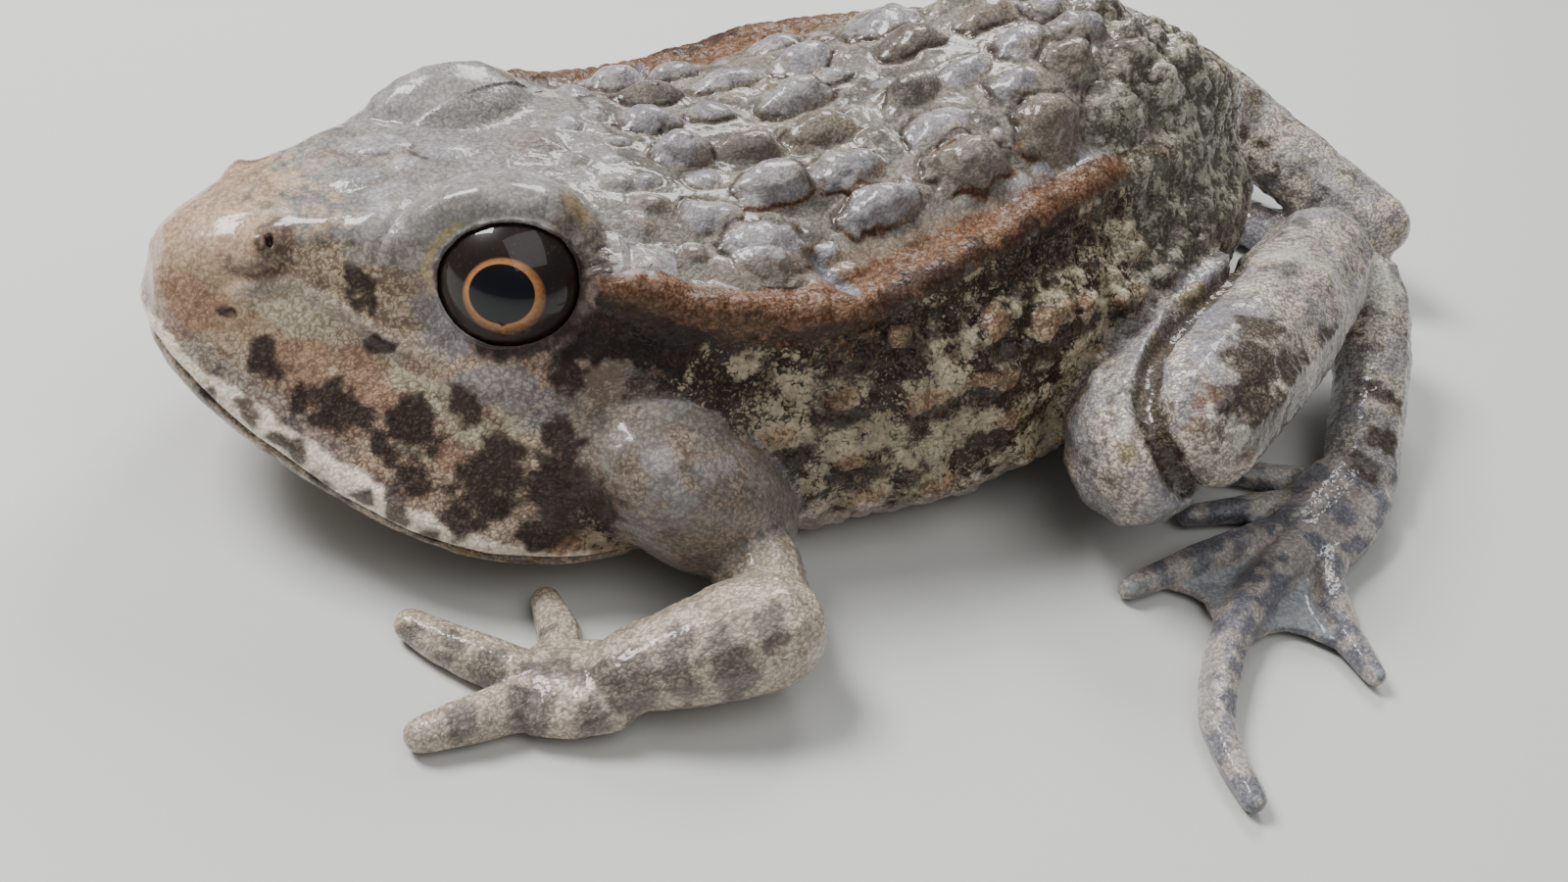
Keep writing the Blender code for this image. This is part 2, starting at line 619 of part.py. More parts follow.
def side_name(base, side):
    return f"{base}_{'left' if side > 0 else 'right'}"


def sided(point, side):
    return (side * point[0], point[1], point[2])


def make_web(name, toe_a, toe_b, reach, collection):
    # A thin sheet between two toes, hollow along its free edge
    def along(points, share):
        position = share * (len(points) - 1)
        k = min(int(position), len(points) - 2)
        return Vector(catmull(points, k, position - k)[:3])

    rows = 5
    columns = 4
    mesh = bmesh.new()
    sheet = {}
    for level in (-0.5, 0.5):
        for row in range(rows + 1):
            for column in range(columns + 1):
                u = column / columns
                end = reach * (1 - WEB_NOTCH * 4 * u * (1 - u))
                share = WEB_ROOT + (end - WEB_ROOT) * row / rows
                spot = along(toe_a, share).lerp(along(toe_b, share), u)
                spot.z = WEB_HEIGHT + WEB_THICKNESS * level + WEB_CROWN * (1 - u) * u
                sheet[level, row, column] = mesh.verts.new(spot * MM)
    for level in (-0.5, 0.5):
        for row in range(rows):
            for column in range(columns):
                corners = ((row, column), (row, column + 1), (row + 1, column + 1), (row + 1, column))
                a, b, c, d = (sheet[(level,) + corner] for corner in corners)
                mesh.faces.new((a, b, c))
                mesh.faces.new((a, c, d))
    edge = [(0, c) for c in range(columns)] + [(r, columns) for r in range(rows)]
    edge += [(rows, c) for c in range(columns, 0, -1)] + [(r, 0) for r in range(rows, 0, -1)]
    for i, here in enumerate(edge):
        there = edge[(i + 1) % len(edge)]
        a = sheet[(-0.5,) + here]
        b = sheet[(-0.5,) + there]
        c = sheet[(0.5,) + there]
        d = sheet[(0.5,) + here]
        mesh.faces.new((a, b, c))
        mesh.faces.new((a, c, d))
    bmesh.ops.recalc_face_normals(mesh, faces=mesh.faces)
    return object_from(mesh, name, collection)


def make_hand(side, parts, cutters):
    def place(points):
        return swung(points) if side > 0 else mirrored(swung(points))

    hand = make_limb(side_name("hand", side), place(PALM), parts, pitch=2.0, sides=11)
    fingers = [make_limb("finger", digit_stations(place(points)), cutters, pitch=2.6, sides=7)
               for points in FINGERS]
    combine(hand, fingers, "UNION")
    return hand


def make_foot(name, sole, toes, parts, cutters):
    foot = make_limb(name, sole, parts, pitch=2.2, sides=11)
    pieces = [make_limb("toe", digit_stations(points), cutters, pitch=2.9, sides=7) for points in toes]
    pieces += [make_web("web", a, b, reach, cutters) for a, b, reach in zip(toes, toes[1:], WEB_REACH)]
    combine(foot, pieces, "UNION")
    return foot


def right_foot_points(points):
    # The left foot's points mirrored, turned to the right foot's heading and moved to its joint
    joint = LEFT_SOLE[0]
    cos = math.cos(RIGHT_FOOT_HEADING)
    sin = math.sin(RIGHT_FOOT_HEADING)
    placed = []
    for point in points:
        x = joint[0] - point[0]
        y = point[1] - joint[1]
        placed.append((RIGHT_FOOT_JOINT[0] + x * cos - y * sin, RIGHT_FOOT_JOINT[1] + x * sin + y * cos)
                      + tuple(point[2:]))
    return swung(placed)


def make_head(parts, cutters):
    head = make_body_length("head", 0.0, NECK - GAP / 2, parts)
    mounds = []
    for side in (1, -1):
        eye = sided(EYE_CENTRE, side)
        middle = tuple(a + b for a, b in zip(eye, LID_MOUND_SHIFT))
        mounds.append(make_ellipsoid("mound", middle, LID_MOUND, cutters, 18, 11))
        mounds.append(make_lid_rim("rim", eye, sided(EYE_AXIS, side), cutters))
        mounds.append(make_ellipsoid("nostril", sided(NOSTRIL, side), (NOSTRIL_MOUND,) * 3, cutters, 10, 6))
    combine(head, mounds, "UNION")
    jaw = head.copy()
    jaw.data = head.data.copy()
    jaw.name = "lower_jaw"
    parts.objects.link(jaw)
    combine(jaw, [make_mouth_wedge("wedge", True, cutters)], "DIFFERENCE")
    combine(head, [make_mouth_wedge("wedge", False, cutters)], "DIFFERENCE")
    holes = []
    for side in (1, -1):
        eye = sided(EYE_CENTRE, side)
        axis = sided(EYE_AXIS, side)
        socket = EYE_RADIUS + GAP
        holes.append(make_ellipsoid("socket", eye, (socket,) * 3, cutters, 14, 8))
        holes.append(make_tube("opening", eye, axis, EYE_OPENING, 0.5, 2 * EYE_RADIUS, cutters))
        outward = Vector(sided(NOSTRIL_AXIS, side)).normalized()
        spot = Vector(sided(NOSTRIL, side)) + outward * NOSTRIL_MOUND
        holes.append(make_ellipsoid("hole", spot, (NOSTRIL_HOLE,) * 3, cutters, 8, 5))
        holes.append(make_tube("ear", turned(*sided(EAR_CENTRE, side)), sided(EAR_AXIS, side),
                               (EAR_RADIUS + GAP,) * 2, -EAR_DEPTH - GAP, 4.0, cutters))
    combine(head, holes, "DIFFERENCE")
    return head, jaw


def make_eyes(parts):
    for side in (1, -1):
        make_ellipsoid(side_name("eye", side), sided(EYE_CENTRE, side), (EYE_RADIUS,) * 3, parts, 16, 9)


def make_ears(parts):
    for side in (1, -1):
        centre = turned(*sided(EAR_CENTRE, side))
        make_tube(side_name("ear", side), centre, sided(EAR_AXIS, side), (EAR_RADIUS,) * 2,
                  -EAR_DEPTH, 0.0, parts, sides=16)


def make_sacs(parts):
    sacs = []
    for side in (1, -1):
        centre = turned(*sided(SAC_CENTRE, side))
        sacs.append(make_ellipsoid(side_name("vocal_sac", side), centre, SAC_RADII, parts, 18, 10,
                                   droop=SAC_DROOP))
    return sacs


def make_arm(side, parts):
    def place(points):
        return swung(points) if side > 0 else mirrored(swung(points))

    upper = make_limb(side_name("upper_arm", side), place(UPPER_ARM), parts)
    fore = make_limb(side_name("forearm", side), place(FOREARM), parts, pitch=2.6)
    return upper, fore


def give_finish(item, name, roughness=0.35):
    material = bpy.data.materials.get(name) or bpy.data.materials.new(name)
    material.use_nodes = True
    shader = material.node_tree.nodes["Principled BSDF"]
    shader.inputs["Base Color"].default_value = (*SKIN_COLOURS[name], 1.0)
    shader.inputs["Roughness"].default_value = roughness
    shader.inputs["Metallic"].default_value = 0.0
    item.data.materials.clear()
    item.data.materials.append(material)


def centre_on_floor(items):
    # Moves everything so that the origin is the middle of the box's underside
    points = [v.co for item in items for v in item.data.vertices]
    low = [min(p[i] for p in points) for i in range(3)]
    high = [max(p[i] for p in points) for i in range(3)]
    shift = Vector((-(low[0] + high[0]) / 2, -(low[1] + high[1]) / 2, -low[2]))
    for item in items:
        item.data.transform(Matrix.Translation(shift))


def build():
    clear_scene()
    parts = make_collection("gopher_frog")
    cutters = make_collection("cutters")

    head, jaw = make_head(parts, cutters)
    torso = make_body_length("torso", NECK + GAP / 2, SNOUT_TO_VENT, parts)
    sacs = make_sacs(parts)
    make_eyes(parts)
    make_ears(parts)
    for item in (head, jaw, torso):
        combine(item, [grown_copy(sac, cutters) for sac in sacs], "DIFFERENCE")

    def fit(item, neighbours):
        combine(item, [grown_copy(near, cutters) for near in neighbours], "DIFFERENCE")

    for side in (1, -1):
        upper, fore = make_arm(side, parts)
        hand = make_hand(side, parts, cutters)
        combine(hand, [make_floor_block("floor", cutters)], "DIFFERENCE")
        fit(fore, [hand, torso])
        fit(upper, [fore, torso] + sacs)

    legs = (
        ("left", LEFT_THIGH, LEFT_SHANK, LEFT_TARSUS, LEFT_SOLE, LEFT_TOES),
        ("right", swung(RIGHT_THIGH), swung(RIGHT_SHANK), swung(RIGHT_TARSUS),
         right_foot_points(LEFT_SOLE), [right_foot_points(toe) for toe in LEFT_TOES]),
    )
    for side, thigh_line, shank_line, tarsus_line, sole, toes in legs:
        shank = make_limb("shank_" + side, shank_line, parts)
        foot = make_foot("foot_" + side, sole, toes, parts, cutters)
        combine(foot, [make_floor_block("floor", cutters)], "DIFFERENCE")
        tarsus = make_limb("tarsus_" + side, tarsus_line, parts, pitch=2.2, sides=11)
        fit(tarsus, [shank, foot])
        thigh = make_limb("thigh_" + side, thigh_line, parts)
        fit(thigh, [shank, torso])

    items = list(parts.objects)
    centre_on_floor(items)
    for item in items:
        name = SKIN_OF_PART.get(item.name.split("_")[0], "limb")
        give_finish(item, name, 0.08 if name == "eye" else 0.35)
        item.data.shade_smooth()
    cutters.hide_render = True


build()
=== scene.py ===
import math
import random

import bmesh
import bpy
import numpy as np
from mathutils import Matrix, Vector
from mathutils.bvhtree import BVHTree


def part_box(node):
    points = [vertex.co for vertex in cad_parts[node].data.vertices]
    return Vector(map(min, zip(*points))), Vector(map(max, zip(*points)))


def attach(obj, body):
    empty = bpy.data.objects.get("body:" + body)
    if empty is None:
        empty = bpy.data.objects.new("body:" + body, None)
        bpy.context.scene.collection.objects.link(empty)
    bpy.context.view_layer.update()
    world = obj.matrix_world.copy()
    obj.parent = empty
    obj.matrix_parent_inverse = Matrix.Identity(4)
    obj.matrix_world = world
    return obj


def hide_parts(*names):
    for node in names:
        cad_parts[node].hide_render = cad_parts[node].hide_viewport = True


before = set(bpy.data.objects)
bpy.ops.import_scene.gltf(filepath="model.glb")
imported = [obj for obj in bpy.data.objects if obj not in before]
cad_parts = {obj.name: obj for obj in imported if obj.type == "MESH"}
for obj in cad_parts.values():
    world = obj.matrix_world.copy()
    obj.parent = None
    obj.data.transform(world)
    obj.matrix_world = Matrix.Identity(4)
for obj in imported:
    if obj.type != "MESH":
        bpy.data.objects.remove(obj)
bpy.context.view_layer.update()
mm = 0.001

# The frog's own frame, in mm: snout tip at y = 0, its left side at +X, floor at z = 0
eyeShape = {"centre": (6.8, 20.0, 18.0), "axis": (0.85, -0.40, 0.34), "ball": 4.9,
            "opening": (5.3, 4.4), "tilt": math.radians(-9)}
corners = [corner for node in ("eye_left", "eye_right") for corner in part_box(node)]
origin = np.array(sum(corners, Vector()) / 4 / mm) - np.array([0.0, *eyeShape["centre"][1:]])

# The trunk swings to the frog's right between these two stations
bend = {"start": 18.0, "end": 38.0, "angle": math.radians(10.6)}
bendRadius = (bend["end"] - bend["start"]) / bend["angle"]

# Lines of the straight body: value by distance from the snout tip
bodyLines = {
    "foldOut": {0: 0.0, 0.4: 1.6, 4: 3.3, 9: 5.0, 14: 6.8, 20: 9.6, 24: 11.3, 28: 12.6, 32: 13.6, 37: 14.4,
                44: 14.3, 53: 12.6, 60: 10.8, 68: 9.0, 75: 7.0, 81: 4.8, 85: 1.7},
    "foldHeight": {0: 14.2, 0.4: 15.6, 4: 17.9, 9: 19.5, 14: 20.6, 20: 20.6, 24: 19.6, 28: 18.2, 32: 17.4,
                   37: 17.0, 44: 18.4, 53: 20.2, 60: 20.8, 68: 20.4, 75: 19.0, 81: 17.2, 85: 15.2},
    "mouth": {-2: 13.0, 0: 12.2, 2: 10.7, 5: 8.6, 9: 6.8, 13: 5.4, 17: 4.5, 22: 3.9, 30: 3.5},
    "lipWidth": {0: 1.2, 3: 1.6, 6: 2.0, 9: 2.0, 13: 1.7, 17: 1.2, 21: 0.7, 26: 0.0},
    "rustAcross": {24: 0.0, 30: 0.2, 36: -0.3, 42: -1.1, 46: -1.1, 50: -0.7, 56: -0.4, 75: -0.3},
    "rustHalf": {22: 0.5, 25: 0.8, 30: 1.15, 36: 1.4, 42: 1.4, 50: 1.1, 58: 0.75, 66: 0.5, 74: 0.1},
    "pinkTop": {22: -0.5, 26: -1.2, 30: -2.6, 33: -3.8, 45: -3.8, 53: -2.4, 62: -1.4, 74: -0.6},
    "cheekLine": {3: 15.0, 6: 16.6, 7.5: 17.1, 9.3: 16.4, 11.2: 15.5, 12.4: 14.9, 16: 13.6},
}


def lineAt(name, y):
    table = bodyLines[name]
    return np.interp(y, list(table), list(table.values()))


def smooth(low, high, value):
    share = np.clip((value - low) / (high - low), 0.0, 1.0)
    return share * share * (3 - 2 * share)


def bell(distance, width):
    return np.exp(-(distance / width) ** 2)


def straighten(points):
    # Undoes the swing of the trunk, so that patterns and warts run along the body
    x = points[:, 0] + bendRadius
    y = points[:, 1] - bend["start"]
    turn = np.clip(np.arctan2(y, x), 0.0, bend["angle"])
    straight = points.copy()
    straight[:, 0] = x * np.cos(turn) + y * np.sin(turn) - bendRadius
    straight[:, 1] = bend["start"] + bendRadius * turn - x * np.sin(turn) + y * np.cos(turn)
    return straight


def newObject(name, data):
    made = bpy.data.objects.new(name, data)
    bpy.context.scene.collection.objects.link(made)
    return made


def readOut(items, field, width=3, kind=float):
    # One row of numbers for each point, edge or face of a mesh
    flat = np.empty(len(items) * width, kind)
    items.foreach_get(field, flat)
    return flat.reshape(-1, width)


def scatter(cell, seed):
    # A fixed random number between 0 and 1 for each whole-numbered cell
    mixed = cell[:, 0] * 73856093 ^ cell[:, 1] * 19349663 ^ cell[:, 2] * 83492791 ^ (seed + 1) * 2654435
    mixed = mixed * 1103515245 + 12345 & 0x7FFFFFFF
    mixed = (mixed ^ mixed >> 13) * 1103515245 + 12345 & 0x7FFFFFFF
    return ((mixed ^ mixed >> 11) & 0xFFFF) / 65535.0


def lumps(points, size, seed=0):
    # Smooth noise between 0 and 1 with lumps of about this size in mm
    place = points / size + 1000.0
    cell = np.floor(place).astype(np.int64)
    part = place - cell
    part = part * part * (3 - 2 * part)
    total = np.zeros(len(points))
    for corner in range(8):
        step = np.array([corner & 1, corner >> 1 & 1, corner >> 2 & 1])
        total += np.prod(np.where(step, part, 1 - part), axis=1) * scatter(cell + step, seed)
    return total


def granules(points, size, seed=0):
    # Round grains packed side by side: 1 at the middle of a grain, 0 between grains
    place = points / size + 1000.0
    cell = np.floor(place).astype(np.int64)
    nearest = np.full(len(points), 9.0)
    for corner in range(27):
        spot = cell + np.array([corner % 3 - 1, corner // 3 % 3 - 1, corner // 9 - 1])
        away = [spot[:, k] + 0.15 + 0.7 * scatter(spot, seed + k) - place[:, k] for k in range(3)]
        nearest = np.minimum(nearest, away[0] ** 2 + away[1] ** 2 + away[2] ** 2)
    return np.clip(1 - nearest / 0.5, 0, 1)


# Skin: the flesh solids are fused, rounded and then sculpted
skinShape = {
    "voxel": 0.27, "grow": 0.22, "rounds": 60,
    "softness": {"head": 0.9, "jaw": 0.9, "trunk": 1.0, "sac": 1.0, "arm": 0.85, "leg": 1.0, "foot": 0.2},
    "lidSoftness": 0.6, "lidReach": 9.0, "fullFingers": 0.28, "fullToes": 0.12,
}
regionOf = {
    "head": "head", "ear": "head", "eye": "head", "lower": "jaw", "torso": "trunk", "vocal": "sac",
    "upper": "arm", "forearm": "arm", "thigh": "leg", "shank": "leg", "tarsus": "leg",
    "hand": "foot", "foot": "foot",
}
nodeNames = sorted(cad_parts)
fleshNodes = [name for name in nodeNames if not name.startswith("eye")]

# Webs between toes III, IV and V: the toes' lines on the left foot, and which two toes a web joins
# with the share of each that it reaches. The right foot has the same, moved to its own heel.
webs = {
    "toes": (((20.6, 79.4), (21.6, 71.6), (22.8, 65.2), (24.0, 59.6)),
             ((21.0, 79.4), (23.6, 73.6), (29.0, 65.6), (35.8, 59.8), (42.6, 58.6)),
             ((20.8, 80.6), (25.6, 75.8), (30.4, 73.8), (35.2, 73.6))),
    "between": ((0, 1, 0.86, 0.62), (1, 2, 0.60, 0.84)), "notch": 0.2, "root": 0.1,
    "low": 0.45, "high": 1.2, "steps": 6,
    "leftHeel": (17.4, 84.2), "rightHeel": (-9.0, 95.2), "rightHeading": math.radians(-15),
}


def swing(x, y):
    # The straight body's place behind the bend, carried round with the trunk
    cos, sin = math.cos(bend["angle"]), math.sin(bend["angle"])
    past = y - bend["end"]
    return (x * cos - past * sin - bendRadius * (1 - cos),
            x * sin + past * cos + bendRadius * sin + bend["start"])


def webPlace(left, x, y):
    # A place of the left foot, or the same place of the right one
    if left:
        return x, y
    cos, sin = math.cos(webs["rightHeading"]), math.sin(webs["rightHeading"])
    out, ahead = webs["leftHeel"][0] - x, y - webs["leftHeel"][1]
    heelX, heelY = webs["rightHeel"]
    return swing(heelX + out * cos - ahead * sin, heelY + out * sin + ahead * cos)


def addWeb(joined, left, first, second, reachFirst, reachSecond):
    # A closed sheet between two toes, hollow along its free edge
    def along(toe, share):
        line = webs["toes"][toe]
        station = share * (len(line) - 1)
        return np.array([np.interp(station, range(len(line)), axis) for axis in zip(*line)])

    steps = webs["steps"]
    made = []
    sheet = {}
    for row in range(steps + 1):
        for column in range(steps + 1):
            u = column / steps
            fall = 1 - webs["notch"] * 4 * u * (1 - u)
            a, b = (along(toe, webs["root"] + (reach * fall - webs["root"]) * row / steps)
                    for toe, reach in ((first, reachFirst), (second, reachSecond)))
            place = webPlace(left, *(a * (1 - u) + b * u))
            for level in ("low", "high"):
                spot = Vector((*place, webs[level])) + Vector(origin)
                sheet[level, row, column] = joined.verts.new(spot * mm)
    for row in range(steps):
        for column in range(steps):
            around = ((row, column), (row, column + 1), (row + 1, column + 1), (row + 1, column))
            for level in ("low", "high"):
                made.append(joined.faces.new([sheet[(level,) + corner] for corner in around]))
    rim = [(0, c) for c in range(steps)] + [(r, steps) for r in range(steps)]
    rim += [(steps, c) for c in range(steps, 0, -1)] + [(r, 0) for r in range(steps, 0, -1)]
    for here, there in zip(rim, rim[1:] + rim[:1]):
        corners = [sheet["low", *here], sheet["low", *there], sheet["high", *there], sheet["high", *here]]
        made.append(joined.faces.new(corners))
    bmesh.ops.recalc_face_normals(joined, faces=made)
    return len(made)


def fuseFlesh():
    # The eyeballs are fused in too, so that the lids have something to close over
    joined = bmesh.new()
    owner = []
    for name in nodeNames:
        piece = bmesh.new()
        piece.from_mesh(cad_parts[name].data)
        bmesh.ops.remove_doubles(piece, verts=piece.verts, dist=0.000001)
        piece.normal_update()
        copies = [joined.verts.new(v.co + v.normal * skinShape["grow"] * mm) for v in piece.verts]
        for face in piece.faces:
            joined.faces.new([copies[v.index] for v in face.verts])
            owner.append(name)
        piece.free()
    for left in (True, False):
        for web in webs["between"]:
            owner += ["foot_left" if left else "foot_right"] * addWeb(joined, left, *web)
    lookup = BVHTree.FromBMesh(joined)
    data = bpy.data.meshes.new("skin")
    joined.to_mesh(data)
    joined.free()
    skin = newObject("skin", data)
    remesh = skin.modifiers.new("fuse", "REMESH")
    remesh.mode = "VOXEL"
    remesh.voxel_size = skinShape["voxel"] * mm
    graph = bpy.context.evaluated_depsgraph_get()
    fused = bpy.data.meshes.new_from_object(skin.evaluated_get(graph))
    skin.modifiers.clear()
    skin.data = fused
    bpy.data.meshes.remove(data)
    return skin, lookup, owner


def keepOuterShell(skin):
    # Leaves the largest connected part
    shell = bmesh.new()
    shell.from_mesh(skin.data)
    shell.verts.ensure_lookup_table()
    mark = [0] * len(shell.verts)
    sizes = [0]
    for vertex in shell.verts:
        if mark[vertex.index]:
            continue
        sizes.append(0)
        front = [vertex]
        mark[vertex.index] = len(sizes) - 1
        while front:
            here = front.pop()
            sizes[-1] += 1
            for edge in here.link_edges:
                near = edge.other_vert(here)
                if not mark[near.index]:
                    mark[near.index] = len(sizes) - 1
                    front.append(near)
    largest = sizes.index(max(sizes))
    loose = [v for v in shell.verts if mark[v.index] != largest]
    bmesh.ops.delete(shell, geom=loose, context="VERTS")
    shell.to_mesh(skin.data)
    shell.free()


def meanAround(values, a, b, links):
    # Mean of each point's neighbours, for points linked from a to b
    columns = []
    for column in np.atleast_2d(values.T):
        total = np.bincount(a, column[b], len(links)) + np.bincount(b, column[a], len(links))
        columns.append(total / links)
    return np.array(columns).T.reshape(values.shape)


class SkinArrays:
    # The skin's points and links as arrays, in mm in the frog's own frame
    def __init__(self, mesh):
        self.count = len(mesh.vertices)
        self.points = readOut(mesh.vertices, "co") / mm - origin
        self.a, self.b = readOut(mesh.edges, "vertices", 2, np.int32).T
        mesh.calc_loop_triangles()
        self.tris = readOut(mesh.loop_triangles, "vertices", 3, np.int32)
        self.links = np.bincount(self.a, minlength=self.count) + np.bincount(self.b, minlength=self.count)

    def around(self, values):
        return meanAround(values, self.a, self.b, self.links)

    def relax(self, share, rounds):
        # Smooths without shrinking: each step in is followed by a slightly larger step out
        share = share[:, None]
        for _ in range(rounds):
            self.points = self.points + 0.5 * share * (self.around(self.points) - self.points)
            self.points = self.points - 0.53 * share * (self.around(self.points) - self.points)

    def fill(self, share, rounds, passes):
        # Brings hollows up to the level of what lies round them, and leaves bulges alone
        here = np.nonzero(share > 0.005)[0]
        place = np.full(self.count, -1)
        place[here] = np.arange(len(here))
        both = (place[self.a] >= 0) & (place[self.b] >= 0)
        a, b = place[self.a[both]], place[self.b[both]]
        links = np.maximum(np.bincount(a, minlength=len(here)) + np.bincount(b, minlength=len(here)), 1)
        for _ in range(passes):
            level = self.points[here]
            for _ in range(rounds):
                level = level + 0.9 * (meanAround(level, a, b, links) - level) * (share[here] > 0.02)[:, None]
            normal = self.normals()[here]
            lift = np.maximum(np.sum((level - self.points[here]) * normal, axis=1), 0) * share[here]
            self.points[here] += normal * lift[:, None]

    def blur(self, values, rounds):
        for _ in range(rounds):
            values = self.around(values)
        return values

    def normals(self):
        p, q, r = (self.points[self.tris[:, k]] for k in range(3))
        cross = np.cross(q - p, r - p)
        total = np.stack([sum(np.bincount(self.tris[:, k], cross[:, axis], self.count) for k in range(3))
                          for axis in range(3)], axis=1)
        return total / np.linalg.norm(total, axis=1, keepdims=True)

    def write(self, mesh):
        mesh.vertices.foreach_set("co", ((self.points + origin) * mm).astype(np.float32).ravel())
        mesh.update()


def eyeAxes(side):
    # Centre of an eye, the way it looks, and the two directions of its opening
    centre = np.array([side * eyeShape["centre"][0], *eyeShape["centre"][1:]])
    axis = np.array([side * eyeShape["axis"][0], *eyeShape["axis"][1:]])
    axis /= np.linalg.norm(axis)
    rear = np.cross([0.0, 0.0, side], axis)
    rear /= np.linalg.norm(rear)
    upward = side * np.cross(axis, rear)
    turn = eyeShape["tilt"]
    cos, sin = math.cos(turn), math.sin(turn)
    return centre, axis, rear * cos - upward * sin, rear * sin + upward * cos


def lidPlace(points, side):
    # How far out of the eye opening a point is (1 at the lid's edge), and where round it
    centre, axis, rear, upward = eyeAxes(side)
    away = points - centre
    along, rearward, up = away @ axis, away @ rear, away @ upward
    reach = np.hypot(rearward / eyeShape["opening"][0], up / eyeShape["opening"][1])
    return np.where(along > 0, reach, 9.0), rearward, up, along


def refine(skin, choose, cuts):
    # Cuts the faces of the skin finer where detail needs it
    fine = bmesh.new()
    fine.from_mesh(skin.data)
    wanted = [face for face, pick in zip(fine.faces, choose) if pick]
    edges = list({edge for face in wanted for edge in face.edges})
    bmesh.ops.subdivide_edges(fine, edges=edges, cuts=cuts, use_grid_fill=True)
    fine.to_mesh(skin.data)
    fine.free()


def facePlaces(skin):
    return readOut(skin.data.polygons, "center") / mm - origin


def awayFrom(points, place, sizes=(1.0, 1.0, 1.0)):
    # Distance from a place on the left or from its twin on the right, in units of the sizes
    folded = np.abs(points * [1, 0, 0]) + points * [0, 1, 1]
    return np.linalg.norm((folded - place) / sizes, axis=1)


def fromEyes(points):
    return np.min([np.linalg.norm(points - eyeAxes(side)[0], axis=1) for side in (1, -1)], axis=0)


def shareOf(names, start, rounds):
    # 1 on the nodes whose names start so, fading over their edges
    return body.blur(np.array([name.startswith(start) for name in names], float), rounds)


def findRegions(body, lookup, owner, rounds):
    names = [owner[lookup.find_nearest(Vector(place))[2]] for place in (body.points + origin) * mm]
    kinds = [regionOf[name.split("_")[0]] for name in names]
    weights = {kind: body.blur(np.array([k == kind for k in kinds], float), rounds)
               for kind in skinShape["softness"]}
    return names, weights


print("skin: fusing the solids")
skin, lookup, owner = fuseFlesh()
keepOuterShell(skin)
body = SkinArrays(skin.data)
names, region = findRegions(body, lookup, owner, 6)
softness = sum(skinShape["softness"][kind] * region[kind] for kind in region)
eyeDistance = fromEyes(body.points)
lidZone = 1 - smooth(skinShape["lidReach"] - 2.0, skinShape["lidReach"], eyeDistance)
softness = softness * (1 - lidZone) + skinShape["lidSoftness"] * lidZone
body.relax(softness, skinShape["rounds"])
# Hollows that the solids leave in front of the vocal sac and round the ear
hollows = {"sac": (15.5, 24.0, 11.5), "sacSize": (7, 8.5, 8.0), "ear": (13.0, 24.7, 15.5), "earSize": 3.2,
           "passes": 6}
sacFront = np.clip(1 - awayFrom(body.points, hollows["sac"], hollows["sacSize"]) ** 2, 0, 1)
earAround = bell(awayFrom(body.points, hollows["ear"]), hollows["earSize"])
body.fill(smooth(0.0, 0.35, np.maximum(sacFront, 0.5 * earAround)), skinShape["rounds"], hollows["passes"])
fuller = skinShape["fullFingers"] * shareOf(names, "hand", 6)
fuller += skinShape["fullToes"] * shareOf(names, "foot", 6)
body.points += body.normals() * (fuller - skinShape["grow"])[:, None]
body.write(skin.data)

print("skin: refining the lids, nostrils, lips and back")
# Where the faces are cut finer: shares of the eye opening, and places in mm
finer = {"lids": (0.88, 1.5), "nostril": (3.9, 6.0, 18.6), "nostrilReach": 2.2,
         "mouthReach": 0.9, "mouthHalf": 19, "mouthEnd": 29, "mouthFloor": 2,
         "backSpan": (22, 80), "backHalf": 17.5, "backFloor": 14.5}
places = facePlaces(skin)
lidReach = np.minimum(*[lidPlace(places, side)[0] for side in (1, -1)])
refine(skin, (lidReach > finer["lids"][0]) & (lidReach < finer["lids"][1]), 2)
places = facePlaces(skin)
out, along, up = places.T
mouthNear = (np.abs(up - lineAt("mouth", along)) < finer["mouthReach"]) & (along < finer["mouthEnd"])
mouthNear &= (up > finer["mouthFloor"]) & (np.abs(out) < finer["mouthHalf"])
out, along, up = straighten(places).T
warty = (along > finer["backSpan"][0]) & (along < finer["backSpan"][1]) & (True)
warty &= (np.abs(out) < finer["backHalf"]) & (up > finer["backFloor"])
refine(skin, (awayFrom(places, finer["nostril"]) < finer["nostrilReach"]) | mouthNear | warty, 1)
body = SkinArrays(skin.data)
names, region = findRegions(body, lookup, owner, 8)
print("skin:", body.count, "points,", len(body.tris), "triangles")

print("skin: sculpting")
straight = straighten(body.points)
x, y, z = straight.T
side = np.abs(x)
normal = body.normals()
foldOut, foldHeight = lineAt("foldOut", y), lineAt("foldHeight", y)
bulk = np.clip(region["trunk"] + region["head"], 0, 1)
limb = np.clip(region["arm"] + region["leg"] + region["foot"], 0, 1)
aboveFold = 0.6 * (foldOut - side) + 0.8 * (z - foldHeight)
across = 0.8 * (side - foldOut) - 0.6 * (z - foldHeight)
back = smooth(-0.5, 0.7, aboveFold) * bulk
foldRun = smooth(21.5, 25.0, y) * smooth(78.0, 70.0, y) * bulk

# Warts of the back lie close together, long way along the body; small ones fill the gaps
wartRows = {"seed": 11, "rows": ((2.4, 5.4, 0.0), (6.2, 6.2, 0.5), (10.0, 7.0, 0.15)), "start": 31.0,
            "end": 76.0, "widest": 38.0, "smallFrom": 66.0, "small": 0.75}
wartLook = {"seed": 21, "full": (1.2, 1.32), "halfWidth": 1.8, "tall": 0.7, "span": (9.0, 78.0),
            "fillers": ((1.7, 1.05, 420), (0.9, 0.65, 500)), "fillerTall": 0.34, "square": 2.3,
            "uneven": ((0.5, 1.9, 31), (0.3, 0.8, 34)), "groove": 0.16}


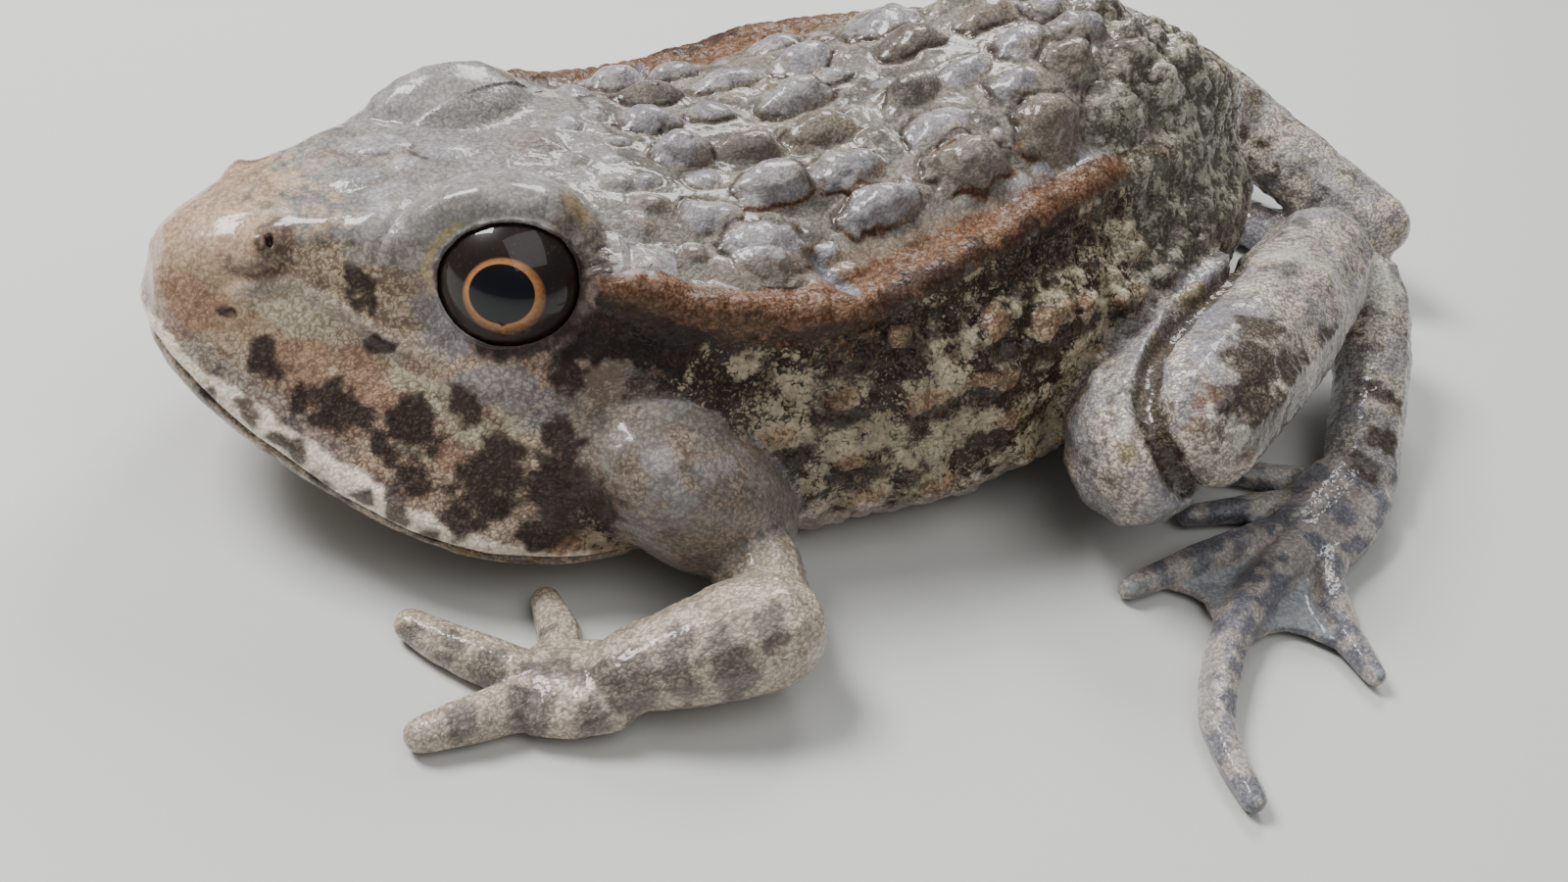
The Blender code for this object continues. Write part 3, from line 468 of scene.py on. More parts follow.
def makeWarts():
    # The rows of warts that the solids have: centre, half length, half width, height
    draw = random.Random(wartRows["seed"])
    warts = []
    for out, pitch, phase in wartRows["rows"]:
        for side in (-1, 1):
            y = wartRows["start"] + (phase + 0.3 * (side > 0)) * pitch
            while y < wartRows["end"]:
                edge = lineAt("foldOut", y) / lineAt("foldOut", wartRows["widest"])
                size = draw.uniform(0.8, 1.0) * (1.0 if y < wartRows["smallFrom"] else wartRows["small"])
                strayX = draw.uniform(-0.6, 0.6)
                strayY = draw.uniform(-1.0, 1.0)
                warts.append((side * (out + strayX) * edge, y + strayY, size * draw.uniform(1.9, 2.9),
                              size * draw.uniform(1.1, 1.6), size * draw.uniform(0.8, 1.25)))
                y += pitch * draw.uniform(0.85, 1.15)
    return warts


def fillGaps(warts):
    # The same warts a little fuller, and smaller ones wherever they find room
    draw = random.Random(wartLook["seed"])
    longer, wider = wartLook["full"]
    full = [(cx, cy, longer * long, min(wider * wide, wartLook["halfWidth"]), tall * wartLook["tall"])
            for cx, cy, long, wide, tall in warts]
    for long, wide, tries in wartLook["fillers"]:
        for _ in range(tries):
            cy = draw.uniform(*wartLook["span"])
            cx = draw.uniform(-1, 1) * (lineAt("foldOut", cy) - 0.9)
            size = draw.uniform(0.85, 1.3)
            roomX, roomY = 0.9 * wide * size, 0.9 * long * size
            if all(math.hypot((cx - ox) / (ow + roomX), (cy - oy) / (ol + roomY)) > 0.97
                   for ox, oy, ol, ow, _ in full):
                tall = wartLook["fillerTall"] * wide * size * (1 if cy > 23 else 0.5)
                full.append((cx, cy, long * size, wide * size, tall))
    return full


def raiseWarts(warts, zone):
    # Height over the skin, how deep inside a wart, a dark line of painted shade along its rim and a pale line
    # of painted glint round it, both on the inner side, its shaded end, the number that picks its tone, and
    # its outer edge
    height, inside, rim, halo, shade, mood, outer = (np.zeros(body.count) for _ in range(7))
    wobble = sum(share * (lumps(straight, size, seed) - 0.5) for share, size, seed in wartLook["uneven"])
    for index, (cx, cy, long, wide, tall) in enumerate(warts):
        near = np.nonzero((np.abs(y - cy) < 1.5 * long) & (np.abs(x - cx) < 1.5 * wide) & (zone > 0.02))[0]
        dx, dy = (x[near] - cx) / wide, (y[near] - cy) / long
        outward = dx * np.sign(cx)
        square = wartLook["square"]
        r = (np.abs(dx) ** square + np.abs(dy) ** square) ** (1 / square) + wobble[near]
        height[near] = np.maximum(height[near], 1.15 * tall * smooth(1.12, 0.1, r))
        inside[near] = np.maximum(inside[near], smooth(1.05, 0.6, r))
        inner = smooth(0.35, -0.35, outward + 0.3 * dy) * smooth(0.9, 1.5, wide)
        height[near] -= wartLook["groove"] * bell(r - 1.03, 0.1) * (0.25 + inner) * (height[near] < 0.15)
        # Painted shade along the inner rim, and a painted glint just beyond it
        rim[near] = np.maximum(rim[near], bell(r - 0.98, 0.09) * inner)
        halo[near] = np.maximum(halo[near], bell(r - 1.2, 0.13) * inner)
        outerEdge = bell(r - 0.92, 0.13) * smooth(0.1, 0.6, outward) * (wide > 1.1)
        outer[near] = np.maximum(outer[near], outerEdge)
        mood[near] = np.where(r < 1.1, 0.5 + 0.5 * math.sin(7.3 * index), mood[near])
        end = smooth(0.25, 0.9, 0.8 * outward + 0.5 * dy) * smooth(1.1, 0.95, r)
        shade[near] = np.maximum(shade[near], end * smooth(0.9, 1.5, wide))
    return height * zone, inside * zone, rim * zone, halo * zone, shade * zone, mood, outer * zone


warts = fillGaps(makeWarts())
eyeDistance = fromEyes(body.points)
wartZone = smooth(0.3, 1.6, aboveFold) * bulk * smooth(8, 14, y) * smooth(7.0, 8.5, eyeDistance)
wartHeight, wartInside, wartShadeLine, wartGlintLine, wartShade, wartMood, wartOuter = raiseWarts(warts, wartZone)
print("skin:", len(warts), "warts on the back")


# Warts of the flanks: a row of them on each side as the solids have it, and some more behind the sac
flankLook = {"seed": 12, "count": 26, "span": (36, 70), "levels": (5.5, 9.5, 13.0, 16.0),
             "radius": (0.9, 1.5), "belowFold": 1.2,
             "more": ((1, 33.1, 10.7, 1.3), (1, 36.6, 12.9, 1.0), (1, 37.3, 8.7, 1.0), (-1, 33.5, 9.9, 1.2))}


def makeFlankWarts():
    # Side, y, z and radius of each
    draw = random.Random(flankLook["seed"])
    first, last = flankLook["span"]
    found = []
    for flank in (-1, 1):
        for i in range(flankLook["count"]):
            along = first + (last - first) * (i + draw.uniform(0.1, 0.9)) / flankLook["count"]
            height = draw.choice(flankLook["levels"]) + draw.uniform(-0.8, 0.8)
            found.append((flank, along, height, draw.uniform(*flankLook["radius"])))
    return (*found, *flankLook["more"])


flankWart, flankWartShadow, flankHalo = (np.zeros(body.count) for _ in range(3))
uneven = 0.5 * (lumps(straight, 0.9, 33) - 0.5)
for flank, along, height, radius in makeFlankWarts():
    here = (x * flank > 0) & (across > flankLook["belowFold"])
    r = np.hypot((y - along) / (1.1 * radius), (z - height) / (0.75 * radius)) + uneven
    r = np.where(here, r, 9.0)
    flankWart = np.maximum(flankWart, np.clip(1 - r * r, 0, 1) ** 0.7)
    # Under each wart, a patch that is painted as its shadow
    below = np.hypot((y - along - 0.3) / (1.5 * radius), (z - height + 1.1 * radius) / (0.8 * radius))
    flankWartShadow = np.maximum(flankWartShadow, np.where(here, np.clip(1.2 - 0.7 * below, 0, 1), 0))
    flankHalo = np.maximum(flankHalo, bell(r - 1.25, 0.3))
flankZone = bulk * smooth(0.6, 1.6, across) * smooth(29, 34, y)

# Fold along each side of the back: a thick lumpy ridge with a lobe and a cross groove behind the shoulder
fold = {"tall": 0.8, "width": 1.9, "lobe": 0.8, "lobeAt": (-2.2, 33.0), "lobeSize": (2.4, 3.6),
        "groove": 0.45, "grooveAt": 37.2, "grooveWidth": 0.55}
foldRidge = fold["tall"] * bell(across + 0.5, fold["width"]) * (0.7 + 0.6 * lumps(straight, 2.4, 4))
foldBand = foldRun * bell(across + 0.3, 2.0)
(lobeAcross, lobeAlong), (lobeWide, lobeLong) = fold["lobeAt"], fold["lobeSize"]
lobeAway = np.hypot((across - lobeAcross) / lobeWide, (y - lobeAlong) / lobeLong)
lobe = fold["lobe"] * np.clip(1 - lobeAway ** 2, 0, 1)
crossGroove = bell(y - fold["grooveAt"] - 0.35 * (across + 3), fold["grooveWidth"])
crossGroove *= smooth(-4.8, -4.0, across) * smooth(-0.2, -1.0, across)

# Relief of the skin: height of the lumps in mm, their size and their seed. The real granules are
# about 0.3 mm across, so the smallest drawn here are coarser, and finer ones are left to the shader.
relief = {
    "wartTops": (0.16, 0.9, 35), "flank": (0.9, 1.7, 8), "trunk": (0.35, 2.6, 5), "neck": (0.3, 1.1, 15),
    "leg": (0.3, 2.2, 7), "legMuscles": (0.7, 5.0, 17), "pores": (0.07, 0.8, 6), "rumpEdge": (7, 4.0, 36),
}
grainLook = {"coarse": 1.3, "fine": 0.7, "rump": 0.38, "flank": 0.35, "fold": 0.12, "fineTall": 0.16}


def rough(name, stretch=1.0):
    # Lumps from half their height under the skin to half over it, longer along the body if stretched
    height, size, seed = relief[name]
    return height * (lumps(straight * [1.0, stretch, 1.0], size, seed) - 0.5)


rump = smooth(58, 70, y + rough("rumpEdge")) * bulk
grainCoarse = granules(straight + 0.5 * lumps(straight, 1.5, 19)[:, None], grainLook["coarse"], 3)
grainFine = granules(straight, grainLook["fine"], 9)
coarseTall = np.maximum(grainLook["flank"] * flankZone, grainLook["fold"] * foldBand) * (1 - rump)
coarseTall += grainLook["rump"] * rump
fineShare = np.clip(flankZone + rump + 0.6 * foldBand + 0.5 * region["leg"] + 0.4 * region["arm"], 0, 1)
neck = smooth(36, 26, y) * smooth(7, 11, y) * smooth(6.0, 7.5, eyeDistance)
rise = foldRun * (np.maximum(foldRidge, lobe) - fold["groove"] * crossGroove)
rise += wartHeight * (1 - 0.7 * foldRun * bell(across + 0.6, 1.5)) + rough("wartTops") * wartInside
rise += 0.45 * flankWart * flankZone + rough("flank") * flankZone
rise += coarseTall * (grainCoarse - 0.5) + grainLook["fineTall"] * fineShare * (grainFine - 0.5)
rise += rough("trunk") * bulk * (1 - 0.6 * back) + rough("neck", 0.5) * back * neck
rise += (rough("leg") + rough("legMuscles")) * region["leg"] * smooth(2.5, 6, z)
rise += rough("pores") * (1 - region["sac"]) * (1 - 0.7 * back)

# Crease between the folded thigh and shank, deepest away from the knee
creaseLook = {"deep": 1.1, "knee": (28.0, 53.0, 9.0), "fromKnee": (4.0, 9.0)}
crease = np.clip(4.4 * shareOf(names, "thigh", 10) * shareOf(names, "shank", 10), 0, 1)
crease *= smooth(*creaseLook["fromKnee"], awayFrom(body.points, creaseLook["knee"]))
rise -= creaseLook["deep"] * crease

# Mouth: a fine line with a full lip over it; behind it the corner of the mouth
mouth = {"line": (0.42, 0.2), "lip": 0.3, "under": (0.15, 0.9, 0.7), "corner": (28.5, 26.0), "half": 18.5}
mouthGap = z - lineAt("mouth", y)
lipWidth = lineAt("lipWidth", y)
mouthZone = np.clip(region["head"] + region["jaw"], 0, 1) * smooth(*mouth["corner"], y)
mouthZone *= side < mouth["half"]
lip = mouth["lip"] * bell((mouthGap - 0.55 * lipWidth) / (0.5 * lipWidth + 0.15), 1.0)
line = mouth["line"][0] * bell(mouthGap, mouth["line"][1])
under = mouth["under"][0] * bell(mouthGap + mouth["under"][1], mouth["under"][2])
rise += mouthZone * (lip - line + under)

# Pale welt under the nostril and the fleshy line below the eye
weltLook = {"tall": 0.22, "width": 0.5, "start": (3.5, 5.5), "end": (15, 12), "groove": (0.12, 0.9, 0.4)}
cheekGap = z - lineAt("cheekLine", y)
welt = bell(cheekGap, weltLook["width"]) * region["head"] * (across > 0.4)
welt *= smooth(*weltLook["start"], y) * smooth(*weltLook["end"], y)
deep, over, width = weltLook["groove"]
rise += weltLook["tall"] * welt - deep * bell(cheekGap - over, width) * region["head"] * (welt > 0.001)

body.points += normal * rise[:, None]

# Nostrils: a smooth mound with a small slit in its rear slope
nostril = {"at": (3.75, 6.0, 18.7), "axis": (0.55, -0.1, 0.83), "reach": 2.6, "mound": 1.0, "tall": 0.5,
           "slit": (0.2, 0.36), "back": 0.5, "deep": 0.5, "brown": (0.9, 1.1), "brownBack": 0.7}
nostrilSlitShade = np.zeros(body.count)
nostrilRearShade = np.zeros(body.count)
for flank in (1, -1):
    at = np.array([flank * nostril["at"][0], *nostril["at"][1:]])
    axis = np.array([flank * nostril["axis"][0], *nostril["axis"][1:]])
    axis /= np.linalg.norm(axis)
    rearward = np.cross([0.0, 0.0, flank], axis)
    rearward /= np.linalg.norm(rearward)
    sideward = np.cross(axis, rearward)
    away = body.points - at
    close = np.linalg.norm(away, axis=1) < nostril["reach"]
    toRear, toSide = away @ rearward, away @ sideward
    slit = np.hypot((toRear - nostril["back"]) / nostril["slit"][0], toSide / nostril["slit"][1])
    mound = nostril["tall"] * bell(np.hypot(toRear, toSide), nostril["mound"])
    change = mound - nostril["deep"] * smooth(1.3, 0.6, slit)
    body.points += np.outer(np.where(close, change, 0), axis)
    # The slit and a patch behind the mound are kept to be painted as shade
    nostrilSlitShade = np.maximum(nostrilSlitShade, smooth(1.4, 0.8, slit) * close)
    brown = np.hypot((toRear - nostril["brownBack"]) / nostril["brown"][0], toSide / nostril["brown"][1])
    nostrilRearShade = np.maximum(nostrilRearShade, close * np.clip(1.5 - brown, 0, 1))

# Lids: the skin is cut away over the ball inside the opening and stands proud of it outside.
# Each fold of a lid: its height in mm, where it lies (1 at the lid's edge) and its width.
lids = {"under": 0.5, "over": 0.1, "edge": 0.012, "reach": 2.4,
        "rim": ((0.1, 1.03, 0.03), (-0.06, 1.09, 0.03)),
        "upper": ((0.2, 1.22, 0.12), (-0.16, 1.42, 0.035), (0.1, 1.5, 0.05)),
        "lower": ((0.08, 1.18, 0.04), (-0.1, 1.26, 0.035))}


def lidFolds(name, reach):
    return sum(tall * bell(reach - at, width) for tall, at, width in lids[name])


lidReach = np.full(body.count, 9.0)
lidRear = np.zeros(body.count)
lidUp = np.zeros(body.count)
for flank in (1, -1):
    reach, rearward, up, along = lidPlace(body.points, flank)
    centre, axis = eyeAxes(flank)[:2]
    near = reach < lids["reach"]
    away = body.points - centre
    distance = np.linalg.norm(away, axis=1)
    upper = smooth(-1.0, 1.5, up)
    edge = eyeShape["ball"] + lids["over"]
    wanted = edge + (np.maximum(distance, edge) - edge) * smooth(1.0, 1.42 - 0.12 * upper, reach)
    wanted += lidFolds("rim", reach)
    wanted += (1 - upper) * lidFolds("lower", reach) + upper * lidFolds("upper", reach)
    outside = centre + away * (wanted / distance)[:, None]
    ballAlong = np.sqrt(np.maximum(eyeShape["ball"] ** 2 - rearward ** 2 - up ** 2, 0.01)) - lids["under"]
    inside = body.points + np.outer(ballAlong - along, axis)
    share = smooth(1 - lids["edge"], 1 + lids["edge"], reach)[:, None]
    fade = smooth(lids["reach"], lids["reach"] - 0.4, reach)[:, None]
    shaped = inside * (1 - share) + (body.points * (1 - fade) + outside * fade) * share
    body.points = np.where(near[:, None], shaped, body.points)
    lidReach = np.where(near, reach, lidReach)
    lidRear = np.where(near, rearward, lidRear)
    lidUp = np.where(near, up, lidUp)

# Nothing sinks into the floor
body.points[:, 2] = np.maximum(body.points[:, 2], 0.0)
body.write(skin.data)
skin.data.shade_smooth()
normal = body.normals()

print("skin: painting")
straight = straighten(body.points)
wander = np.stack([lumps(straight, 1.6, seed) for seed in (41, 42, 43)], axis=1) - 0.5
wander += 0.6 * (np.stack([lumps(straight, 0.7, seed) for seed in (44, 45, 46)], axis=1) - 0.5)


def spots(places, bothSides=True, wobble=1.1):
    # Soft spots with uneven outlines, 0.5 at the outline
    shifted = straight + wobble * wander
    if bothSides:
        shifted[:, 0] = np.abs(shifted[:, 0])
    mask = np.zeros(body.count)
    for place in places:
        r = np.linalg.norm((shifted - np.array(place[:3])) / np.array(place[3:]), axis=1)
        mask = np.maximum(mask, np.clip(1.5 - r, 0, 1))
    return mask


# Markings of the head, left and right alike: x, y and z of the centre, then the three half sizes
headMarks = {
    "cheekDark": ((5, 4, 14.5, 4, 0.9, 0.5), (6.7, 5.7, 12.9, 4, 1.3, 1.2), (8.8, 11.8, 14.6, 4, 0.8, 0.5),
        (9.9, 9.5, 11.2, 4, 1.6, 1.3), (11.6, 13.4, 11.2, 4, 1.5, 1.5), (8.8, 7.4, 11.3, 4, 0.6, 0.6),
        (11.9, 11.5, 9.9, 4, 0.6, 1), (13.6, 13.2, 8.5, 4, 1, 0.8), (12, 16.4, 12.7, 4, 1.1, 0.9),
        (15.1, 17.5, 8.3, 4, 2, 1.8), (14.1, 17.9, 10.4, 4, 1.1, 1.1), (16.1, 21.5, 8.4, 5, 2.5, 2.2),
        (14.7, 21.3, 11.4, 4, 1, 1), (16.9, 20.3, 5.9, 4, 1.3, 0.9), (17, 23, 5.8, 5, 1.1, 1.3),
        (15.6, 15.6, 6.7, 4, 0.9, 1.4), (7.3, 11.3, 16.9, 4, 0.8, 0.9), (6.9, 10.7, 17.7, 4, 0.6, 0.8),
        (13.3, 21.7, 15, 4, 0.9, 1.2)),
    "lipBars": ((8.1, 4.7, 10.2, 4, 0.6, 0.55), (9.6, 6.3, 9.4, 4, 0.9, 0.5),
        (10.4, 7.3, 8.9, 4, 0.55, 0.7), (11.3, 8.1, 7.1, 4, 0.5, 0.9), (13.2, 10.3, 7.2, 4, 0.8, 0.45),
        (14.3, 12.3, 7.1, 4, 0.55, 1.3), (15, 13.8, 5.6, 4, 0.8, 0.5), (12, 9.2, 5.9, 4, 0.9, 0.4),
        (6, 2.6, 10.4, 4, 0.5, 0.4)),
    "peach": ((3.8, 2.3, 15.2, 4, 1.9, 1.1), (4.2, 1.7, 13.8, 4, 1.6, 0.9), (7.5, 8.1, 13.5, 4, 1.5, 0.9),
        (7.9, 7.6, 12.6, 4, 1.6, 0.7), (13.6, 15.4, 9.7, 4, 1.3, 0.8), (17.1, 21.5, 5.4, 4, 0.8, 0.6),
        (10.5, 11.5, 12.6, 4, 1.9, 0.9), (9.5, 10.6, 13.6, 4, 1.4, 0.6)),
    "paleCheek": ((6.4, 7.7, 15.3, 4, 2.4, 0.9), (11.6, 15.2, 12.5, 4, 1.3, 0.9),
        (13.1, 16.7, 11.1, 4, 1.3, 0.8), (9.8, 12.6, 13.2, 4, 1.4, 0.6), (12.9, 12.9, 9.7, 4, 0.9, 0.4),
        (13.2, 18.7, 12.6, 4, 0.9, 0.7)),
    # The lilac patch under the eye is a painted sheen
    "lilac": ((12.6, 18.4, 13.7, 4, 3, 1.1), (13, 20.4, 12.6, 4, 1.4, 0.9)),
    "olive": ((9.1, 22.9, 22.3, 3, 1.9, 2.2), (10.2, 23.2, 20.9, 2, 1.2, 1.2)),
    "ochre": ((7.8, 22.8, 23.2, 1.2, 0.9, 1.2), (15.5, 15.2, 4, 4, 2.6, 0.8)),
    "nostrilShade": ((4.6, 6.2, 17.3, 3, 1.9, 0.8), (4.9, 8.3, 17.6, 3, 1.2, 0.4),
        (4, 7.2, 19, 1.2, 1.1, 1)),
    "taupe": ((13.5, 24.3, 14.5, 4, 2.4, 2), (14.5, 22.6, 12.6, 4, 1.7, 2.2)),
}
# Markings of the left limbs
leftMarks = {
    "armBars": ((28, 21.7, 4.6, 2, 1.5, 3), (28.3, 23.9, 5.6, 2.3, 0.8, 3), (29.4, 26.2, 5.6, 2.4, 0.95, 3),
        (28.6, 28.4, 7, 1.4, 0.8, 2), (24.8, 18.7, 2.8, 0.7, 0.8, 2), (24.8, 19.8, 3, 1.1, 0.35, 2),
        (26.4, 20.3, 3.3, 0.9, 0.6, 2), (28.5, 19.8, 2.4, 0.9, 0.8, 2), (27, 17.5, 2.2, 1.1, 1.5, 2),
        (26.8, 13.5, 2.2, 1, 0.7, 2), (23.5, 16.2, 2.2, 1, 1.1, 2), (21.4, 14.2, 2.1, 0.8, 0.6, 2),
        (19.1, 12.4, 1.7, 0.6, 0.5, 2), (21.5, 19.9, 2.3, 0.6, 0.9, 2)),
    "legDark": ((24.2, 65.4, 16.9, 1.3, 1.9, 3), (26.4, 62.5, 16.4, 1.9, 2.2, 3),
        (28.2, 59.3, 15.6, 1.3, 1.9, 2), (27.2, 66.4, 15, 1.8, 2.6, 3), (29.2, 64, 12.3, 2, 2.6, 3),
        (23.9, 83.6, 6.8, 1.4, 1.1, 2), (27.4, 81, 5.5, 1.5, 1.2, 2), (29, 78.1, 4.2, 1.4, 1, 2),
        (30.1, 76, 3.8, 1, 0.8, 2), (25.5, 54, 12.9, 1, 0.8, 1), (25.2, 73.2, 13.6, 1.8, 2.4, 3),
        (28.9, 61.5, 13.6, 1.8, 4.2, 2.6), (28.4, 67.5, 13.2, 2, 4.5, 2.6)),
    "legLilac": ((21.7, 57.3, 14.7, 1.8, 1.8, 2), (15.7, 65.7, 15.2, 1.5, 4, 2),
        (21.5, 65, 16.6, 2.2, 3, 2), (24.3, 60.8, 16.8, 1.4, 2.4, 2), (29.4, 55.5, 8.3, 2, 1.7, 1.8),
        (24.1, 80.5, 5.4, 1.6, 1.4, 2), (26.4, 74.2, 2.7, 1.8, 1.4, 1.6), (28.2, 71.4, 2.7, 1.4, 1.2, 1.5),
        (22, 52.5, 9, 1.6, 1.2, 1.6), (31.1, 66.3, 2.1, 1.3, 1.2, 2), (36.3, 59.1, 2.5, 1.5, 1.6, 2),
        (39.3, 54.2, 2.3, 1.3, 1.5, 2), (42.6, 51.5, 2, 1.4, 1.2, 2), (32.3, 71.9, 2.8, 1.2, 0.9, 2),
        (35.9, 68.7, 2.4, 1, 0.8, 2), (29.4, 57, 1.9, 1.4, 1.2, 2), (26, 64, 2, 1.6, 1.6, 2)),
    "legRed": ((28.3, 56.2, 14.4, 0.7, 0.8, 1), (27.5, 57.7, 15.7, 0.7, 1.4, 1),
        (26.3, 53.5, 13, 0.7, 0.7, 1), (30.4, 59.9, 12.4, 0.8, 1.2, 0.6)),
    "legCream": ((29.9, 58.8, 14, 0.9, 1, 0.9), (16.4, 89.2, 10.5, 2.2, 2, 2),
        (25.6, 53.2, 13.4, 1.1, 1, 1), (17, 76, 16, 2.4, 2.4, 1.4), (29.3, 71.9, 3.1, 0.9, 1.6, 1),
        (24, 55, 12.6, 1.2, 0.9, 1)),
    "legYellow": ((17.2, 66.2, 14.7, 0.8, 2.4, 1.2), (26.4, 52.9, 11.8, 1.2, 0.7, 0.8),
        (20, 60.5, 14, 0.7, 1.2, 1)),
}


def linearColour(hexColour):
    channels = [int(hexColour[k:k + 2], 16) / 255 for k in (1, 3, 5)]
    return (*[c / 12.92 if c <= 0.04045 else ((c + 0.055) / 1.055) ** 2.4 for c in channels], 1.0)


# Tones of the skin: colour between the granules, colour of the granules, and the share that granules cover
tones = {
    "neck": ("#4D4841", "#645F56", 0.50), "crown": ("#77726E", "#928E8A", 0.55),
    "wartTop": ("#969197", "#AFABB2", 0.55), "wartBrown": ("#68594D", "#857465", 0.50),
    "valley": ("#7B736A", "#989283", 0.50), "lobe": ("#655950", "#7B6F65", 0.50),
    "pink": ("#715E4E", "#8F7B69", 0.50), "rust": ("#523621", "#785943", 0.50),
    "rustDark": ("#2E1F17", "#473124", 0.40), "snout": ("#9A8069", "#B79E84", 0.55),
    "loreal": ("#776452", "#B2A087", 0.50), "nostrilShade": ("#503E33", "#75614E", 0.40),
    "cheek": ("#705A4D", "#A6907B", 0.50), "cheekDark": ("#2B211E", "#43342F", 0.35),
    "cheekPale": ("#938770", "#C2B69F", 0.55), "peach": ("#846654", "#A7846A", 0.50),
    "welt": ("#897B6F", "#A59788", 0.50), "lilac": ("#6A676C", "#838184", 0.50),
    "lip": ("#CFC1AD", "#F6EAD4", 0.60), "lipDark": ("#3E302B", "#5A4A41", 0.40),
    "jaw": ("#877765", "#B0A28C", 0.50), "sac": ("#696158", "#847B72", 0.50),
    "sacSheen": ("#898A91", "#97999E", 0.50), "mask": ("#1F1714", "#312521", 0.40),
    # The flank's darkest tone serves both its dark brown blotches and the painted shadow under its warts
    "flank": ("#2B2017", "#AA9C84", 0.45), "flankDarkAndShadow": ("#261A14", "#463122", 0.40),
    "flankWart": ("#795E48", "#A58567", 0.50), "flankMid": ("#564535", "#92846C", 0.50),
    "flankPale": ("#958A6F", "#C9BEA1", 0.60), "flankLow": ("#9E8C7E", "#DFCABB", 0.55),
    "rump": ("#575247", "#A19B8A", 0.50), "rumpDark": ("#413A31", "#665E51", 0.40),
    "belly": ("#9A8F85", "#A89E94", 0.50), "arm": ("#908374", "#C0B3A0", 0.50),
    "armBar": ("#57514B", "#726A61", 0.45), "leg": ("#7E766C", "#C6BBAB", 0.50),
    "legLilac": ("#706E73", "#8A888C", 0.50), "legDark": ("#31271F", "#564938", 0.40),
    "legOchre": ("#706446", "#928665", 0.50), "legRust": ("#5E4130", "#7C5E49", 0.50),
    "legPale": ("#9E9C91", "#C8C7B8", 0.55), "foot": ("#636269", "#7F7F84", 0.45),
    "footPale": ("#988F86", "#BCB1A8", 0.55), "web": ("#878B8E", "#999DA0", 0.50),
    "lidTop": ("#87827E", "#9C9893", 0.50), "lidDark": ("#2A1E1B", "#3D2F2A", 0.40),
    "lidOlive": ("#544B3F", "#706656", 0.50), "lidGold": ("#75633F", "#897350", 0.50),
    "lidLine": ("#A39060", "#B5A376", 0.50), "lidFlesh": ("#837169", "#95827A", 0.50),
    "nostril": ("#33211A", "#452F26", 0.40),
}
tones = {name: (np.array(linearColour(low)), np.array(linearColour(high)), share)
         for name, (low, high, share) in tones.items()}
ground, grains, cover = (np.tile(part, (body.count, 1)) for part in tones["neck"])
grit = 0.6 * (lumps(straight, 0.45, 47) - 0.5)


def coat(name, mask, strength=1.0):
    # Lays a tone over what is there, with a gritty edge where the mask passes through one half
    low, high, share = tones[name]
    amount = (smooth(0.26, 0.74, mask + grit) * strength)[:, None]
    for store, value in ((ground, low), (grains, high), (cover, share)):
        store += amount * (value - store)


def patches(size, seed, level):
    # Uneven clumps of about this size in mm, 0.5 where the noise passes the level
    noise = 0.6 * lumps(straight, size, seed) + 0.4 * lumps(straight, 0.45 * size, seed + 100)
    return 0.5 + 3.0 * (noise - level)


def coverWith(share, where):
    # Lets the granules cover this share of the skin
    cover[:] += where[:, None] * (np.clip(share, 0.05, 0.85)[:, None] - cover)


marks = {name: spots(places) for name, places in headMarks.items()}
head, jaw, sac, leg, foot = (region[name] for name in ("head", "jaw", "sac", "leg", "foot"))
strayX, strayY, strayZ = wander.T
headAll = np.clip(head + jaw + sac, 0, 1)
flank = bulk * smooth(0.2, 0.9, across) * smooth(21, 24, y)
rustGap = across - lineAt("rustAcross", y) + 0.6 * strayX
rustHalf = lineAt("rustHalf", y)
isWeb = np.array([name.startswith("foot") for name in names]) & (z < 1.8) & (normal[:, 2] > 0.65) & (z > 0.3)
isArm = np.clip(region["arm"] + np.where(y < 40, foot, 0), 0, 1)
isLeg = np.clip(leg + np.where(y >= 40, foot, 0), 0, 1)

# Head: grey crown, tan snout, and a cheek of mixed browns between the eye and the lip
cheek = head * smooth(0.0, 1.0, across)
loreal = smooth(-0.4, 0.6, across) * smooth(-0.3, 0.5, cheekGap) * smooth(4.5, 7.5, y) * smooth(17.5, 15, y)
coat("crown", head * smooth(0.6, -0.6, across) * smooth(2.5, 12.0, y + 4 * strayX), 0.85)
coat("cheek", cheek)
coat("cheekPale", cheek * patches(2.2, 71, 0.52), 0.5)
coat("snout", head * smooth(14.5, 1.5, y + 4 * strayY) * smooth(12.2, 14.2, z))
coat("loreal", head * loreal)
coat("cheekPale", marks["paleCheek"] * headAll, 0.9)
coat("cheekDark", cheek * smooth(14, 12, z) * patches(1.4, 79, 0.66), 0.7)
# Painted sheen: a lilac patch under the eye
coat("lilac", marks["lilac"] * headAll, 0.65)
coat("peach", marks["peach"] * headAll, 0.8)
# Painted shade below and behind each nostril mound
coat("nostrilShade", (marks["nostrilShade"] + nostrilRearShade) * headAll, 0.75)
coat("welt", welt, 0.8)
# Pale lip with a lilac line over it, and dark bars on the lip and the jaw
overLip = mouthGap - lipWidth
jawSkin = jaw * smooth(0.0, -0.3, mouthGap)
coat("lilac", mouthZone * smooth(1.7, 0.9, overLip) * smooth(12, 8, y) * (mouthGap > 0), 0.3)
coat("lip", mouthZone * smooth(-0.1, 0.12, mouthGap) * smooth(0.5, -0.4, overLip + 0.6 * strayX), 0.95)
coat("jaw", jawSkin)
coat("lipDark", jawSkin * patches(2.2, 72, 0.5) * smooth(-4.5, -2.0, mouthGap), 0.8)
coat("lipDark", spots(headMarks["lipBars"], wobble=0.8) * headAll, 0.9)

